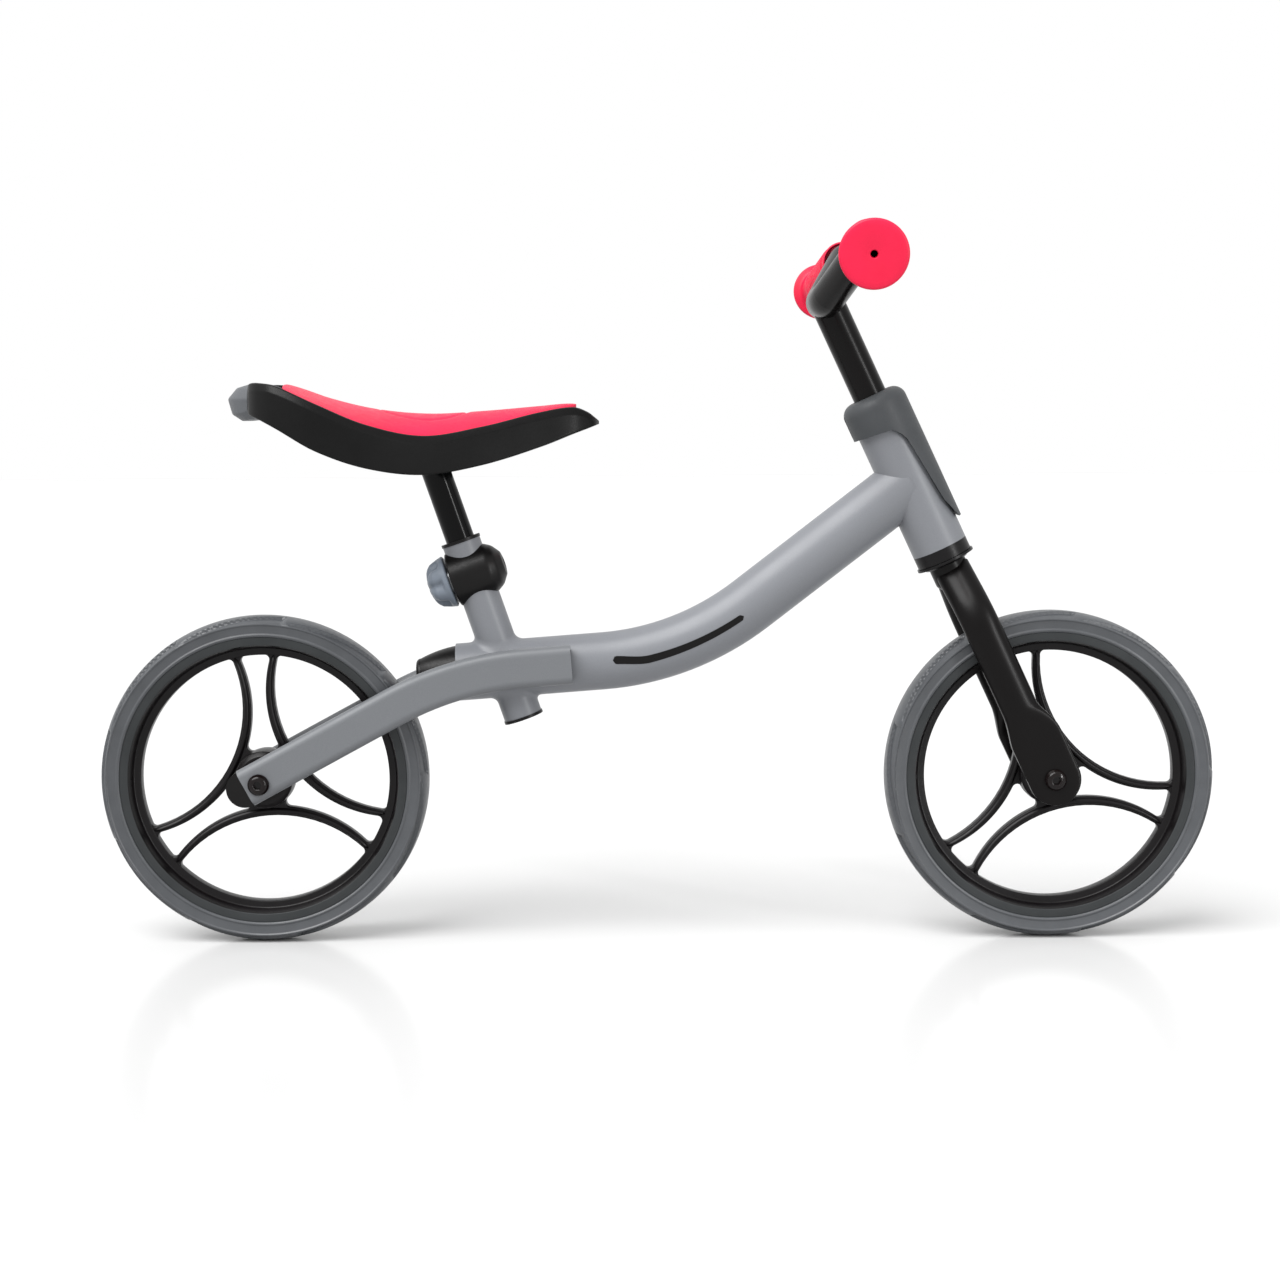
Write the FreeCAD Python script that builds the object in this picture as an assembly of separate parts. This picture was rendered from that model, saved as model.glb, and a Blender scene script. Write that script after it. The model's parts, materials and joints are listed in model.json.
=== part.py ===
"""Balance bike for a toddler: one STEP file per physical piece.

Millimetres.  +X points forward, +Y to the rider's left and +Z up.  The origin
lies on the ground, in the bike's middle plane, halfway between the wheels.

Three local frames are used besides that one:
  wheel frame     origin at the wheel's centre, axle along Y
  steering frame  origin at the lower end of the head tube, +Z up the steering
                  axis, +X forward
  seat frame      origin at the lower end of the seat tube, +Z up the seat
                  tube, +X forward
"""

import FreeCAD, Part
import math
import os

# Overall layout
WHEEL_R = 108.0
WHEELBASE = 517.0
REAR_AXLE = FreeCAD.Vector(-WHEELBASE / 2, 0, WHEEL_R)
FRONT_AXLE = FreeCAD.Vector(WHEELBASE / 2, 0, WHEEL_R)

# Running clearance of shafts in their bores, and the gap between the faces
# of pieces that move past each other
RUNNING = 0.05
FACE_GAP = 0.3

# Length of cutting tools that pass right through a piece
THROUGH = 60.0

# Main tube: a level run over the rear wheel that bends up to the head tube
TUBE_R = 18.9
TUBE_WALL = 1.8
TUBE_CORNER = FreeCAD.Vector(19.3, 0, 188.1)
REAR_RUN_ANGLE = 4.1
FRONT_RUN_ANGLE = 37.4
TUBE_BEND_R = 182.0
TUBE_REAR_X = -130.3
END_CAP_LENGTH = 27.0
END_CAP_R = 17.5
END_CAP_NOSE_R = 10.8
END_CAP_HOLLOW_R = 9.0
END_CAP_SPIGOT = 9.0
END_CAP_WALL = 4.0
END_CAP_CORNER = 3.0

# Head tube and steering axis
HEAD_BOTTOM = FreeCAD.Vector(186.2, 0, 257.8)
HEAD_TILT = 24.88
HEAD_R = 18.4
HEAD_BORE_R = 16.4
HEAD_LENGTH = 86.0
CUP_HEIGHT = 8.0
UPPER_CUP_HEIGHT = 3.0
CUP_SPIGOT = 10.0

# Fork
STEERER_R = 14.3
STEM_R = 11.1
STEERER_TOP = 102.5
NECK_R = 12.4
NECK_TOP = -11.6
NECK_BOTTOM = -27.0
LEG_DEPTH = 24.0
LEG_WIDTH = 14.4
LEG_Y = 25.6
LEG_TUBE_END = -127.0
TAB_R = 17.0
TAB_TOP = -138.0
TAB_INNER_Y = 23.5
TAB_OUTER_Y = 31.5

LEG_X = 1.2
LEG_TOP = FreeCAD.Vector(LEG_X, 3.0, -15.5)
LEG_CORNER = FreeCAD.Vector(LEG_X, LEG_Y, -47.0)
LEG_END = FreeCAD.Vector(LEG_X, LEG_Y, LEG_TUBE_END)
LEG_BEND_R = 42.0

# Collar and grub screw that hold the stem, and the cover around them
COLLAR_BOTTOM = HEAD_LENGTH + UPPER_CUP_HEIGHT + FACE_GAP
COLLAR_R = 18.4
STEM_SCREW_HEIGHT = 96.0
GRUB_SCREW_R = 3.0
GRUB_SCREW_LENGTH = 6.4
GRUB_SOCKET_R = 1.5
COVER_R = 21.7
COVER_WALL = 2.3
COVER_TOP = 109.0
COVER_TIP = 14.0
COVER_DOME_R = 8.5
COVER_BORE_R = STEM_R + 0.6
SLIT_HALF_WIDTH = 2.6
SLIT_BOTTOM = 89.0
SLIT_TOP = 103.0
COVER_SCREW_HEIGHT = 24.0
COVER_SCREW_HEAD_R = 3.2
COVER_SCREW_SHANK_R = 1.55
COVER_SCREW_SEAT = 20.0

# Seat tube
SEAT_BOTTOM = FreeCAD.Vector(-88.0, 0, 148.5)
SEAT_TILT = 18.9
SEAT_TUBE_R = 12.7
SEAT_TUBE_BORE_R = 11.0
SEAT_TUBE_LENGTH = 121.0
POST_R = 9.5
POST_BORE_R = 7.9
POST_BOTTOM = 50.0
POST_LENGTH = 160.0
BUSH_LENGTH = 14.0
BUSH_LIP = 2.0
KNOB_HEIGHT = 99.3
POST_HOLE_R = 2.2
POST_HOLE_PITCH = 54.5

# Seat clamp, its screw and its knob, measured along the knob's axis from the
# seat tube's axis, forwards positive
CLAMP_BUSH_R = 6.5
CLAMP_REAR = -13.5
CLAMP_FRONT = 22.3
CLAMP_OUTLINE = [(CLAMP_REAR, 18.0), (0, 17.5), (12.0, 16.2), (16.7, 13.8), (21.2, 8.2), (CLAMP_FRONT, 4.0)]
SCREW_R = 4.0
SCREW_TIP = -(POST_R + FACE_GAP)
SCREW_HEAD_REAR = -25.0
SCREW_HEAD_R = 6.5
SCREW_HEAD_LENGTH = 5.0
WASHER_R = 10.0
WASHER_THICKNESS = 1.2
WASHER_REAR = CLAMP_REAR - FACE_GAP - WASHER_THICKNESS
KNOB_BASE = WASHER_REAR - FACE_GAP
KNOB_FACE = -29.5
KNOB_R = 17.2
KNOB_FACE_R = 6.5
KNOB_LOBES = 6
KNOB_SCALLOP_R = 5.4
KNOB_SCALLOP_OFFSET = 3.6
KNOB_OUTLINE = [(KNOB_BASE, KNOB_R), (-19.9, 16.0), (-24.9, 14.4), (-28.0, 10.4), (KNOB_FACE, KNOB_FACE_R)]

# Rear stays
STAY_HEIGHT = 25.4
STAY_WIDTH = 12.0
STAY_WALL = 1.8
STAY_FRONT_Y = 21.6
STAY_SPLAY = 1.05
STAY_FRONT = FreeCAD.Vector(-55.0, 0, 184.2)
STAY_CORNER = FreeCAD.Vector(-131.0, 0, 178.7)
STAY_REAR = FreeCAD.Vector(-267.7, 0, 105.0)
STAY_BEND_R = 215.0
STAY_CORNER_R = 5.2
DROPOUT_FRONT_X = -225.0
DROPOUT_INNER_Y = 19.5
DROPOUT_OUTER_Y = 31.5

# Wheels
BEAD_R = 94.5
RIM_HALF_WIDTH = 13.4
TYRE_HALF_WIDTH = 15.5
TYRE_SHOULDER_R = 103.3
WELL_R = 90.5
WEB_R = 82.0
WEB_OVERLAP = 1.5
HUB_R = 19.5
HUB_HALF_LENGTH = 13.6
SPOKE_HALF_THICKNESS = 5.5
SPOKE_ARC_OFFSET = 102.3
SPOKE_ARC_R = 83.6
SPOKE_ROOT = 6.4
SPOKE_TAPER = 5.4
REAR_SPOKE_ANGLE = 33.9
FRONT_SPOKE_ANGLE = 44.7
TREAD_DENTS = 9
DENT_R = 26.0
DENT_Y = 30.0
DENT_RADIUS = WHEEL_R + 14.0

# Wheel bearings, type 608, and axle hardware, M8
BEARING_R = 11.0
BEARING_BORE_R = 4.05
BEARING_WIDTH = 7.0
BEARING_OUTER_FACE_Y = 13.5
BALL_R = 1.98
BALL_CIRCLE_R = 7.5
BALL_COUNT = 7
RACE_GAP = 1.45
AXLE_R = 4.0
AXLE_HEAD_R = 7.0
AXLE_HEAD_HEIGHT = 4.6
AXLE_SOCKET_R = 2.9
AXLE_SOCKET_DEPTH = 3.0
AXLE_THREAD_IN_NUT = 3.4
AXLE_SPACER_R = 6.0

# Handlebar
BAR_R = 11.1
BAR_CENTRE = FreeCAD.Vector(110.5, 0, 417.5)
BAR_SHOULDER = FreeCAD.Vector(131.4, 82, 450.0)
BAR_END = FreeCAD.Vector(123.6, 193, 434.8)
BAR_WALL = 1.8
BAR_FLAT_Y = 16.0
BAR_FOOT_BEND_R = 30.0
BAR_SHOULDER_BEND_R = 20.0
STEM_BOTTOM = 32.0
GRIP_LENGTH = 108.0
GRIP_R = 14.4
GRIP_FLANGE_R = 20.5
GRIP_FLANGE = 4.0
GRIP_CUP_R = 12.9
GRIP_CUP_DEPTH = 5.0
GRIP_VENT_R = 2.0

# Saddle
BRACKET_Z = 322.0
BRACKET_THICKNESS = 3.0
BRACKET_HALF_LENGTH = 26.0
BRACKET_HALF_WIDTH = 18.0
BRACKET_CORNER_R = 6.0
BRACKET_SCREW_R = 2.5
BRACKET_SCREW_LENGTH = 10.0
BRACKET_BOSS_R = 5.0
BRACKET_SCREWS = [(x, y) for x in (-19.0, 19.0) for y in (-11.0, 11.0)]
SHELL_WALL = 3.0
PAD_THICKNESS = 8.0
PAD_EDGE = 3.0
SHOULDER_INSET = 4.0
TOP_FRACTIONS = (1.0, 0.7, 0.35, 0.0, -0.35, -0.7, -1.0)


def vec(x, y, z):
    return FreeCAD.Vector(x, y, z)


X_AXIS = vec(1, 0, 0)
Y_AXIS = vec(0, 1, 0)
Z_AXIS = vec(0, 0, 1)
STEERING = FreeCAD.Placement(HEAD_BOTTOM, FreeCAD.Rotation(Y_AXIS, -HEAD_TILT))
SEATING = FreeCAD.Placement(SEAT_BOTTOM, FreeCAD.Rotation(Y_AXIS, -SEAT_TILT))


# ---------------------------------------------------------------- helpers

def cylinder(base, direction, radius, length):
    return Part.makeCylinder(radius, length, base, direction)


def ring(base, direction, outer, inner, length):
    return cylinder(base, direction, outer, length).cut(cylinder(base, direction, inner, length))


def across(outer, y_low, y_high, x=0.0, z=0.0):
    """Cylinder along Y between two widths."""
    return cylinder(vec(x, y_low, z), Y_AXIS, outer, y_high - y_low)


def ring_across(outer, inner, y_low, y_high):
    return ring(vec(0, y_low, 0), Y_AXIS, outer, inner, y_high - y_low)


def box(low, high):
    size = high - low
    return Part.makeBox(size.x, size.y, size.z, low)


def side_plate(points, y_low, y_high):
    """Plate with the given (x, z) outline, extruded across the bike."""
    corners = [vec(x, y_low, z) for x, z in points]
    face = Part.Face(Part.makePolygon(corners + corners[:1]))
    return face.extrude(vec(0, y_high - y_low, 0))


def revolved(profile, axis_point, axis):
    """Full turn of a closed polygon of vectors about an axis."""
    face = Part.Face(Part.makePolygon(profile + profile[:1]))
    return face.revolve(axis_point, axis, 360)


def wheel_turned(profile):
    """Full turn of a (y, radius) outline about the wheel's axle."""
    return revolved([vec(0, y, r) for y, r in profile], vec(0, 0, 0), Y_AXIS)


def placed(shape, placement):
    moved = shape.copy()
    moved.Placement = placement.multiply(moved.Placement)
    return moved


def at_point(shape, point):
    return placed(shape, FreeCAD.Placement(point, FreeCAD.Rotation()))


def mirrored(shape):
    """The same piece on the other side of the bike."""
    return shape.mirror(vec(0, 0, 0), Y_AXIS)


def fused(shapes):
    whole = shapes[0].fuse(shapes[1:]) if len(shapes) > 1 else shapes[0]
    return whole.removeSplitter()


def rounded_path(points, radius):
    """Wire along the points, with a tangent arc at each inner point."""
    edges = []
    start = points[0]
    for before, corner, after in zip(points, points[1:], points[2:]):
        inward = (before - corner).normalize()
        outward = (after - corner).normalize()
        half_turn = (math.pi - inward.getAngle(outward)) / 2
        reach = radius * math.tan(half_turn)
        first = corner + inward * reach
        last = corner + outward * reach
        bisector = (inward + outward).normalize()
        middle = corner + bisector * (radius / math.cos(half_turn) - radius)
        edges.append(Part.makeLine(start, first))
        edges.append(Part.Arc(first, middle, last).toShape())
        start = last
    edges.append(Part.makeLine(start, points[-1]))
    return Part.Wire(edges)


def facing(origin, along, width_direction):
    """Placement whose local +Z runs along a path and +X across its width."""
    z = FreeCAD.Vector(along).normalize()
    x = FreeCAD.Vector(width_direction).normalize()
    y = z.cross(x)
    matrix = FreeCAD.Matrix(x.x, y.x, z.x, origin.x,
                            x.y, y.y, z.y, origin.y,
                            x.z, y.z, z.z, origin.z,
                            0, 0, 0, 1)
    return FreeCAD.Placement(matrix)


def round_section(radius):
    return Part.Wire(Part.makeCircle(radius))


def flat_oval(width, height, radius):
    """Rounded rectangle about the local origin, width along X."""
    x = width / 2
    y = height / 2
    inset = radius * (1 - math.sqrt(0.5))
    edges = []
    for right, up in ((1, 1), (-1, 1), (-1, -1), (1, -1)):
        side = vec(right * x, up * (y - radius), 0)
        end = vec(right * (x - radius), up * y, 0)
        middle = vec(right * (x - inset), up * (y - inset), 0)
        first, last = (side, end) if right * up > 0 else (end, side)
        edges.append(Part.Arc(first, middle, last).toShape())
    closed = []
    for arc, following in zip(edges, edges[1:] + edges[:1]):
        closed.append(arc)
        closed.append(Part.makeLine(arc.Vertexes[-1].Point, following.Vertexes[0].Point))
    return Part.Wire(closed)


def swept(section, path, normal):
    """Solid of a section carried along a planar path with this plane normal."""
    first = path.Edges[0]
    start = first.valueAt(first.FirstParameter)
    along = first.tangentAt(first.FirstParameter)
    profile = section.copy()
    profile.Placement = facing(start, along, normal)
    pipe = Part.BRepOffsetAPI.MakePipeShell(path)
    pipe.setBiNormalMode(normal)
    pipe.add(profile)
    pipe.build()
    pipe.makeSolid()
    return pipe.shape()


# ------------------------------------------------------------------ frame

def rear_run_z(x):
    return TUBE_CORNER.z + math.tan(math.radians(REAR_RUN_ANGLE)) * (x - TUBE_CORNER.x)


def head_joint_point():
    """Where the main tube's upper run crosses the steering axis."""
    slope = math.tan(math.radians(FRONT_RUN_ANGLE))
    tilt = math.tan(math.radians(HEAD_TILT))
    rise = (TUBE_CORNER.z + slope * (HEAD_BOTTOM.x - TUBE_CORNER.x) - HEAD_BOTTOM.z) / (1 + slope * tilt)
    return vec(HEAD_BOTTOM.x - tilt * rise, 0, HEAD_BOTTOM.z + rise)


def seat_tube_outside():
    return placed(cylinder(vec(0, 0, 0), Z_AXIS, SEAT_TUBE_R, SEAT_TUBE_LENGTH), SEATING)


def head_tube_outside():
    return placed(cylinder(vec(0, 0, 0), Z_AXIS, HEAD_R, HEAD_LENGTH), STEERING)


def main_tube_solid(radius):
    rear = vec(TUBE_REAR_X, 0, rear_run_z(TUBE_REAR_X))
    path = rounded_path([rear, TUBE_CORNER, head_joint_point()], TUBE_BEND_R)
    return swept(round_section(radius), path, Y_AXIS)


def main_tube():
    tube = main_tube_solid(TUBE_R).cut(main_tube_solid(TUBE_R - TUBE_WALL))
    return tube.cut(head_tube_outside()).cut(seat_tube_outside())


def head_tube():
    tube = ring(vec(0, 0, 0), Z_AXIS, HEAD_R, HEAD_BORE_R, HEAD_LENGTH)
    return placed(tube.cut(cover_screw_hole()), STEERING)


def clamp_bush_hole(radius):
    """Bore through the seat tube's rear wall, on the knob's axis."""
    return cylinder(vec(-THROUGH, 0, KNOB_HEIGHT), X_AXIS, radius, THROUGH)


def seat_tube():
    tube = ring(vec(0, 0, 0), Z_AXIS, SEAT_TUBE_R, SEAT_TUBE_BORE_R, SEAT_TUBE_LENGTH)
    return placed(tube.cut(clamp_bush_hole(CLAMP_BUSH_R)), SEATING)


def main_tube_end_cap():
    """Plastic plug: a tapering nose behind the tube and a spigot inside it."""
    along = vec(math.cos(math.radians(REAR_RUN_ANGLE)), 0, math.sin(math.radians(REAR_RUN_ANGLE)))
    rear = vec(TUBE_REAR_X, 0, rear_run_z(TUBE_REAR_X))
    tip = vec(END_CAP_NOSE_R, 0, END_CAP_CORNER - END_CAP_LENGTH)
    shoulder = vec(END_CAP_R, 0, 0)
    bulge = (tip + shoulder) * 0.5 + vec(0.9, 0, -0.4)
    end = vec(END_CAP_NOSE_R - END_CAP_CORNER, 0, -END_CAP_LENGTH)
    inset = END_CAP_CORNER * (1 - math.sqrt(0.5))
    corner = vec(END_CAP_NOSE_R - inset, 0, inset - END_CAP_LENGTH)
    centre = vec(0, 0, -END_CAP_LENGTH)
    outline = Part.Wire([Part.makeLine(vec(0, 0, 0), centre), Part.makeLine(centre, end),
                         Part.Arc(end, corner, tip).toShape(), Part.Arc(tip, bulge, shoulder).toShape(),
                         Part.makeLine(shoulder, vec(0, 0, 0))])
    nose = Part.Face(outline).revolve(vec(0, 0, 0), Z_AXIS, 360)
    spigot = cylinder(vec(0, 0, 0), Z_AXIS, TUBE_R - TUBE_WALL, END_CAP_SPIGOT)
    floor = vec(0, 0, END_CAP_WALL - END_CAP_LENGTH)
    hollow = cylinder(floor, Z_AXIS, END_CAP_HOLLOW_R, END_CAP_LENGTH + END_CAP_SPIGOT)
    cap = placed(fused([nose, spigot]).cut(hollow), facing(rear, along, Y_AXIS))
    return cap.cut(stay_outside()).cut(mirrored(stay_outside()))


def stay_path():
    return rounded_path([STAY_FRONT, STAY_CORNER, STAY_REAR], STAY_BEND_R)


def splayed(shape):
    """Stay moved out to its side of the bike and turned outwards to the rear."""
    turn = FreeCAD.Rotation(Z_AXIS, -STAY_SPLAY)
    hinge = vec(STAY_FRONT.x, 0, 0)
    offset = vec(STAY_FRONT.x, STAY_FRONT_Y, 0)
    return placed(shape, FreeCAD.Placement(offset - turn.multVec(hinge), turn))


def stay_outside():
    return splayed(swept(flat_oval(STAY_WIDTH, STAY_HEIGHT, STAY_CORNER_R), stay_path(), Y_AXIS))


def stay_left():
    inner_section = flat_oval(STAY_WIDTH - 2 * STAY_WALL, STAY_HEIGHT - 2 * STAY_WALL,
                              STAY_CORNER_R - STAY_WALL)
    tube = stay_outside().cut(splayed(swept(inner_section, stay_path(), Y_AXIS)))
    dropout = box(vec(-300, DROPOUT_INNER_Y, 0), vec(DROPOUT_FRONT_X, DROPOUT_OUTER_Y, 200))
    rest = box(vec(DROPOUT_FRONT_X, 0, 0), vec(0, THROUGH, 260))
    tube = tube.common(fused([dropout, rest]))
    tube = tube.cut(main_tube_solid(TUBE_R))
    axle_hole = across(AXLE_R + RUNNING, 0, THROUGH, REAR_AXLE.x, REAR_AXLE.z)
    return tube.cut(axle_hole)


def stay_plug_left():
    """Plastic plug in the open rear end of a stay: a half-round nose and a spigot."""
    direction = (STAY_REAR - STAY_CORNER).normalize()
    centre_y = (DROPOUT_INNER_Y + DROPOUT_OUTER_Y) / 2
    end = vec(STAY_REAR.x, centre_y, STAY_REAR.z)
    local = facing(end, direction, Y_AXIS)
    step = 0.6
    nose_half = STAY_WIDTH / 2 - step
    nose = cylinder(vec(-nose_half, 0, 0), X_AXIS, STAY_HEIGHT / 2 - step, 2 * nose_half)
    nose = nose.common(box(vec(-THROUGH, -THROUGH, 0), vec(THROUGH, THROUGH, THROUGH)))
    spigot = box(vec(-2.9, -8.5, -5.0), vec(2.9, 8.5, 0))
    return placed(fused([nose, spigot]), local)


def seat_bush(lower):
    """Plastic sleeve that guides the seat post, with a lip outside the tube."""
    sleeve = ring(vec(0, 0, 0), Z_AXIS, SEAT_TUBE_BORE_R, POST_R + RUNNING, BUSH_LENGTH)
    lip = ring(vec(0, 0, -BUSH_LIP), Z_AXIS, SEAT_TUBE_R + 0.5, POST_R + RUNNING, BUSH_LIP)
    bush = fused([sleeve, lip])
    if not lower:
        flip = FreeCAD.Placement(vec(0, 0, SEAT_TUBE_LENGTH), FreeCAD.Rotation(X_AXIS, 180))
        bush = placed(bush, flip)
    return placed(bush, SEATING)


# ------------------------------------------------------- seat clamp and knob

def knob_turned(profile):
    """Full turn of an (x, radius) outline about the knob's axis."""
    return revolved([vec(x, 0, KNOB_HEIGHT + r) for x, r in profile], vec(0, 0, KNOB_HEIGHT), X_AXIS)


def seat_clamp_body():
    """Barrel across the seat tube that carries the knob at its rear."""
    body = knob_turned([(CLAMP_REAR, 0)] + CLAMP_OUTLINE + [(CLAMP_FRONT, 0)])
    body = body.cut(cylinder(vec(0, 0, 0), Z_AXIS, SEAT_TUBE_R, SEAT_TUBE_LENGTH + THROUGH))
    return placed(body.cut(clamp_bush_hole(CLAMP_BUSH_R)), SEATING)


def clamp_bush():
    """Threaded bush welded into the seat tube's rear wall."""
    start = vec(CLAMP_REAR, 0, KNOB_HEIGHT)
    bush = ring(start, X_AXIS, CLAMP_BUSH_R, SCREW_R + RUNNING, SCREW_TIP - CLAMP_REAR)
    return placed(bush, SEATING)


def knob_washer():
    start = vec(WASHER_REAR, 0, KNOB_HEIGHT)
    washer = ring(start, X_AXIS, WASHER_R, SCREW_R + RUNNING, WASHER_THICKNESS)
    return placed(washer, SEATING)


def clamp_screw_solid():
    rear = vec(SCREW_HEAD_REAR, 0, KNOB_HEIGHT)
    shank = cylinder(rear, X_AXIS, SCREW_R, SCREW_TIP - SCREW_HEAD_REAR)
    head = cylinder(rear, X_AXIS, SCREW_HEAD_R, SCREW_HEAD_LENGTH)
    return fused([shank, head])


def clamp_screw():
    return placed(clamp_screw_solid(), SEATING)


def seat_knob():
    """Lobed knob moulded around the screw's head."""
    knob = knob_turned([(KNOB_BASE, 0)] + KNOB_OUTLINE + [(KNOB_FACE, 0)])
    for step in range(KNOB_LOBES):
        angle = math.radians(360 / KNOB_LOBES * step)
        distance = KNOB_R + KNOB_SCALLOP_OFFSET
        base = vec(-THROUGH, distance * math.sin(angle), KNOB_HEIGHT + distance * math.cos(angle))
        knob = knob.cut(cylinder(base, X_AXIS, KNOB_SCALLOP_R, THROUGH))
    return placed(knob.cut(clamp_screw_solid()), SEATING)


# ------------------------------------------------------------------ saddle

def saddle_station(x, half_width, bottom, edge, crown):
    return {"x": x, "w": half_width, "bottom": bottom, "edge": edge, "crown": crown}


# Cross-sections of the saddle from nose to tail: place, half-width at the
# skirt, height of the skirt's lower edge, of the pad's edge and of its crown
SADDLE_STATIONS = [
    saddle_station(-38.5, 9.0, 339.0, 343.5, 344.0),
    saddle_station(-53.0, 19.5, 333.0, 350.5, 352.0),
    saddle_station(-75.0, 27.0, 324.5, 346.8, 350.8),
    saddle_station(-110.0, 38.0, 313.8, 337.6, 348.2),
    saddle_station(-147.0, 49.0, 308.0, 332.6, 346.6),
    saddle_station(-182.0, 59.0, 312.4, 339.6, 350.0),
    saddle_station(-213.0, 64.0, 323.4, 353.4, 357.4),
    saddle_station(-238.0, 60.0, 337.6, 364.6, 365.8),
    saddle_station(-258.0, 44.0, 347.0, 366.6, 367.4),
]
PAD_STATIONS = SADDLE_STATIONS[1:-1]


def crown_point(station, fraction, drop):
    """Point on the crowned top, a fraction of the pad's half-width from the middle."""
    pad_half = station["w"] - SHOULDER_INSET - 1.5
    rise = (station["crown"] - station["edge"]) * (1 - fraction * fraction)
    return vec(station["x"], fraction * pad_half, station["edge"] + rise - drop)


def station_wire(points):
    return Part.makePolygon(points + points[:1])


def deck_drop(fraction):
    return PAD_EDGE + (PAD_THICKNESS - PAD_EDGE) * (1 - fraction * fraction)


def shell_section(station, wall):
    """Closed outline of the shell at one station, shrunk by a wall thickness."""
    half = station["w"] - wall
    low = station["bottom"] if wall == 0 else station["bottom"] - 8
    shoulder = half - SHOULDER_INSET
    top = [crown_point(station, f, deck_drop(f) + wall) for f in TOP_FRACTIONS]
    rim = station["edge"] if wall == 0 else station["edge"] - PAD_EDGE - wall
    points = [vec(station["x"], -half, low), vec(station["x"], half, low)]
    points.append(vec(station["x"], shoulder, rim))
    points.extend(vec(p.x, p.y * (shoulder - 0.2) / max(shoulder + wall, 1), p.z) if wall else p for p in top)
    points.append(vec(station["x"], -shoulder, rim))
    return station_wire(points)


def saddle_shell():
    outside = Part.makeLoft([shell_section(s, 0) for s in SADDLE_STATIONS], True, False)
    inside = Part.makeLoft([shell_section(s, SHELL_WALL) for s in PAD_STATIONS], True, False)
    shell = outside.cut(inside)
    columns = bracket_columns(BRACKET_BOSS_R, BRACKET_THICKNESS, THROUGH)
    bosses = [column.common(outside) for column in columns]
    holes = bracket_columns(BRACKET_SCREW_R, 0, BRACKET_SCREW_LENGTH + FACE_GAP)
    return fused([shell] + bosses).cut(holes)


def pad_section(station):
    top = [crown_point(station, f, 0) for f in TOP_FRACTIONS]
    deck = [crown_point(station, f, deck_drop(f)) for f in reversed(TOP_FRACTIONS)]
    return station_wire(top + deck)


def saddle_pad():
    return Part.makeLoft([pad_section(s) for s in PAD_STATIONS], True, False)


def bracket_centre():
    """Where the seat post's axis meets the underside of the bracket."""
    rise = BRACKET_Z - SEAT_BOTTOM.z
    return vec(SEAT_BOTTOM.x - rise * math.tan(math.radians(SEAT_TILT)), 0, BRACKET_Z)


def bracket_columns(radius, z_low, z_high):
    """One upright cylinder at each of the bracket's screws."""
    return [cylinder(bracket_centre() + vec(x, y, z_low), Z_AXIS, radius, z_high - z_low)
            for x, y in BRACKET_SCREWS]


def saddle_bracket():
    low = vec(-BRACKET_HALF_LENGTH, -BRACKET_HALF_WIDTH, 0)
    plate = box(low, vec(BRACKET_HALF_LENGTH, BRACKET_HALF_WIDTH, BRACKET_THICKNESS))
    upright = [edge for edge in plate.Edges if edge.BoundBox.ZLength > BRACKET_THICKNESS - 0.1]
    plate = plate.makeFillet(BRACKET_CORNER_R, upright)
    return at_point(plate, bracket_centre()).cut(bracket_columns(BRACKET_SCREW_R, -1, BRACKET_SCREW_LENGTH))


def saddle_screws():
    shanks = bracket_columns(BRACKET_SCREW_R - RUNNING, 0, BRACKET_SCREW_LENGTH)
    heads = bracket_columns(BRACKET_SCREW_R + 2.0, -3, 0)
    return Part.makeCompound([fused([shank, head]) for shank, head in zip(shanks, heads)])


def seat_post():
    post = ring(vec(0, 0, POST_BOTTOM), Z_AXIS, POST_R, POST_BORE_R, POST_LENGTH)
    for step in (0, 1):
        height = KNOB_HEIGHT + POST_HOLE_PITCH * step
        post = post.cut(cylinder(vec(-THROUGH / 2, 0, height), X_AXIS, POST_HOLE_R, THROUGH))
    below_bracket = box(vec(-300, -THROUGH, 0), vec(0, THROUGH, BRACKET_Z))
    return placed(post, SEATING).common(below_bracket)


def tail_grip():
    """Solid grip moulded on to the saddle's tail."""
    outline = [(-257.0, 344.0), (-267.5, 343.3), (-274.2, 347.5), (-276.9, 356.5),
               (-271.0, 364.0), (-262.0, 367.2), (-257.0, 366.0)]
    grip = side_plate(outline, -34, 34)
    plan = cylinder(vec(-222, 0, 300), Z_AXIS, 55.0, 100)
    return grip.common(plan).cut(Part.makeLoft([shell_section(s, 0) for s in SADDLE_STATIONS], True, False))


# -------------------------------------------------------- headset and cover

def lower_cup():
    """Plastic cup under the head tube; its bore is the steering bearing."""
    flange = ring(vec(0, 0, -CUP_HEIGHT), Z_AXIS, HEAD_R, STEERER_R + RUNNING, CUP_HEIGHT)
    spigot = ring(vec(0, 0, 0), Z_AXIS, HEAD_BORE_R, STEERER_R + RUNNING, CUP_SPIGOT)
    return placed(fused([flange, spigot]), STEERING)


def upper_cup():
    flange = ring(vec(0, 0, HEAD_LENGTH), Z_AXIS, HEAD_R, STEERER_R + RUNNING, UPPER_CUP_HEIGHT)
    spigot = ring(vec(0, 0, HEAD_LENGTH - CUP_SPIGOT), Z_AXIS, HEAD_BORE_R, STEERER_R + RUNNING, CUP_SPIGOT)
    return placed(fused([flange, spigot]), STEERING)


def domed_column(radius, top, round_radius):
    """Cylinder about the steering axis, from the cover's tip up to a rounded top edge."""
    column = cylinder(vec(0, 0, COVER_TIP), Z_AXIS, radius, top - COVER_TIP)
    upper_edge = [edge for edge in column.Edges if edge.BoundBox.ZMin > top - 0.1]
    return column.makeFillet(round_radius, upper_edge)


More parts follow.
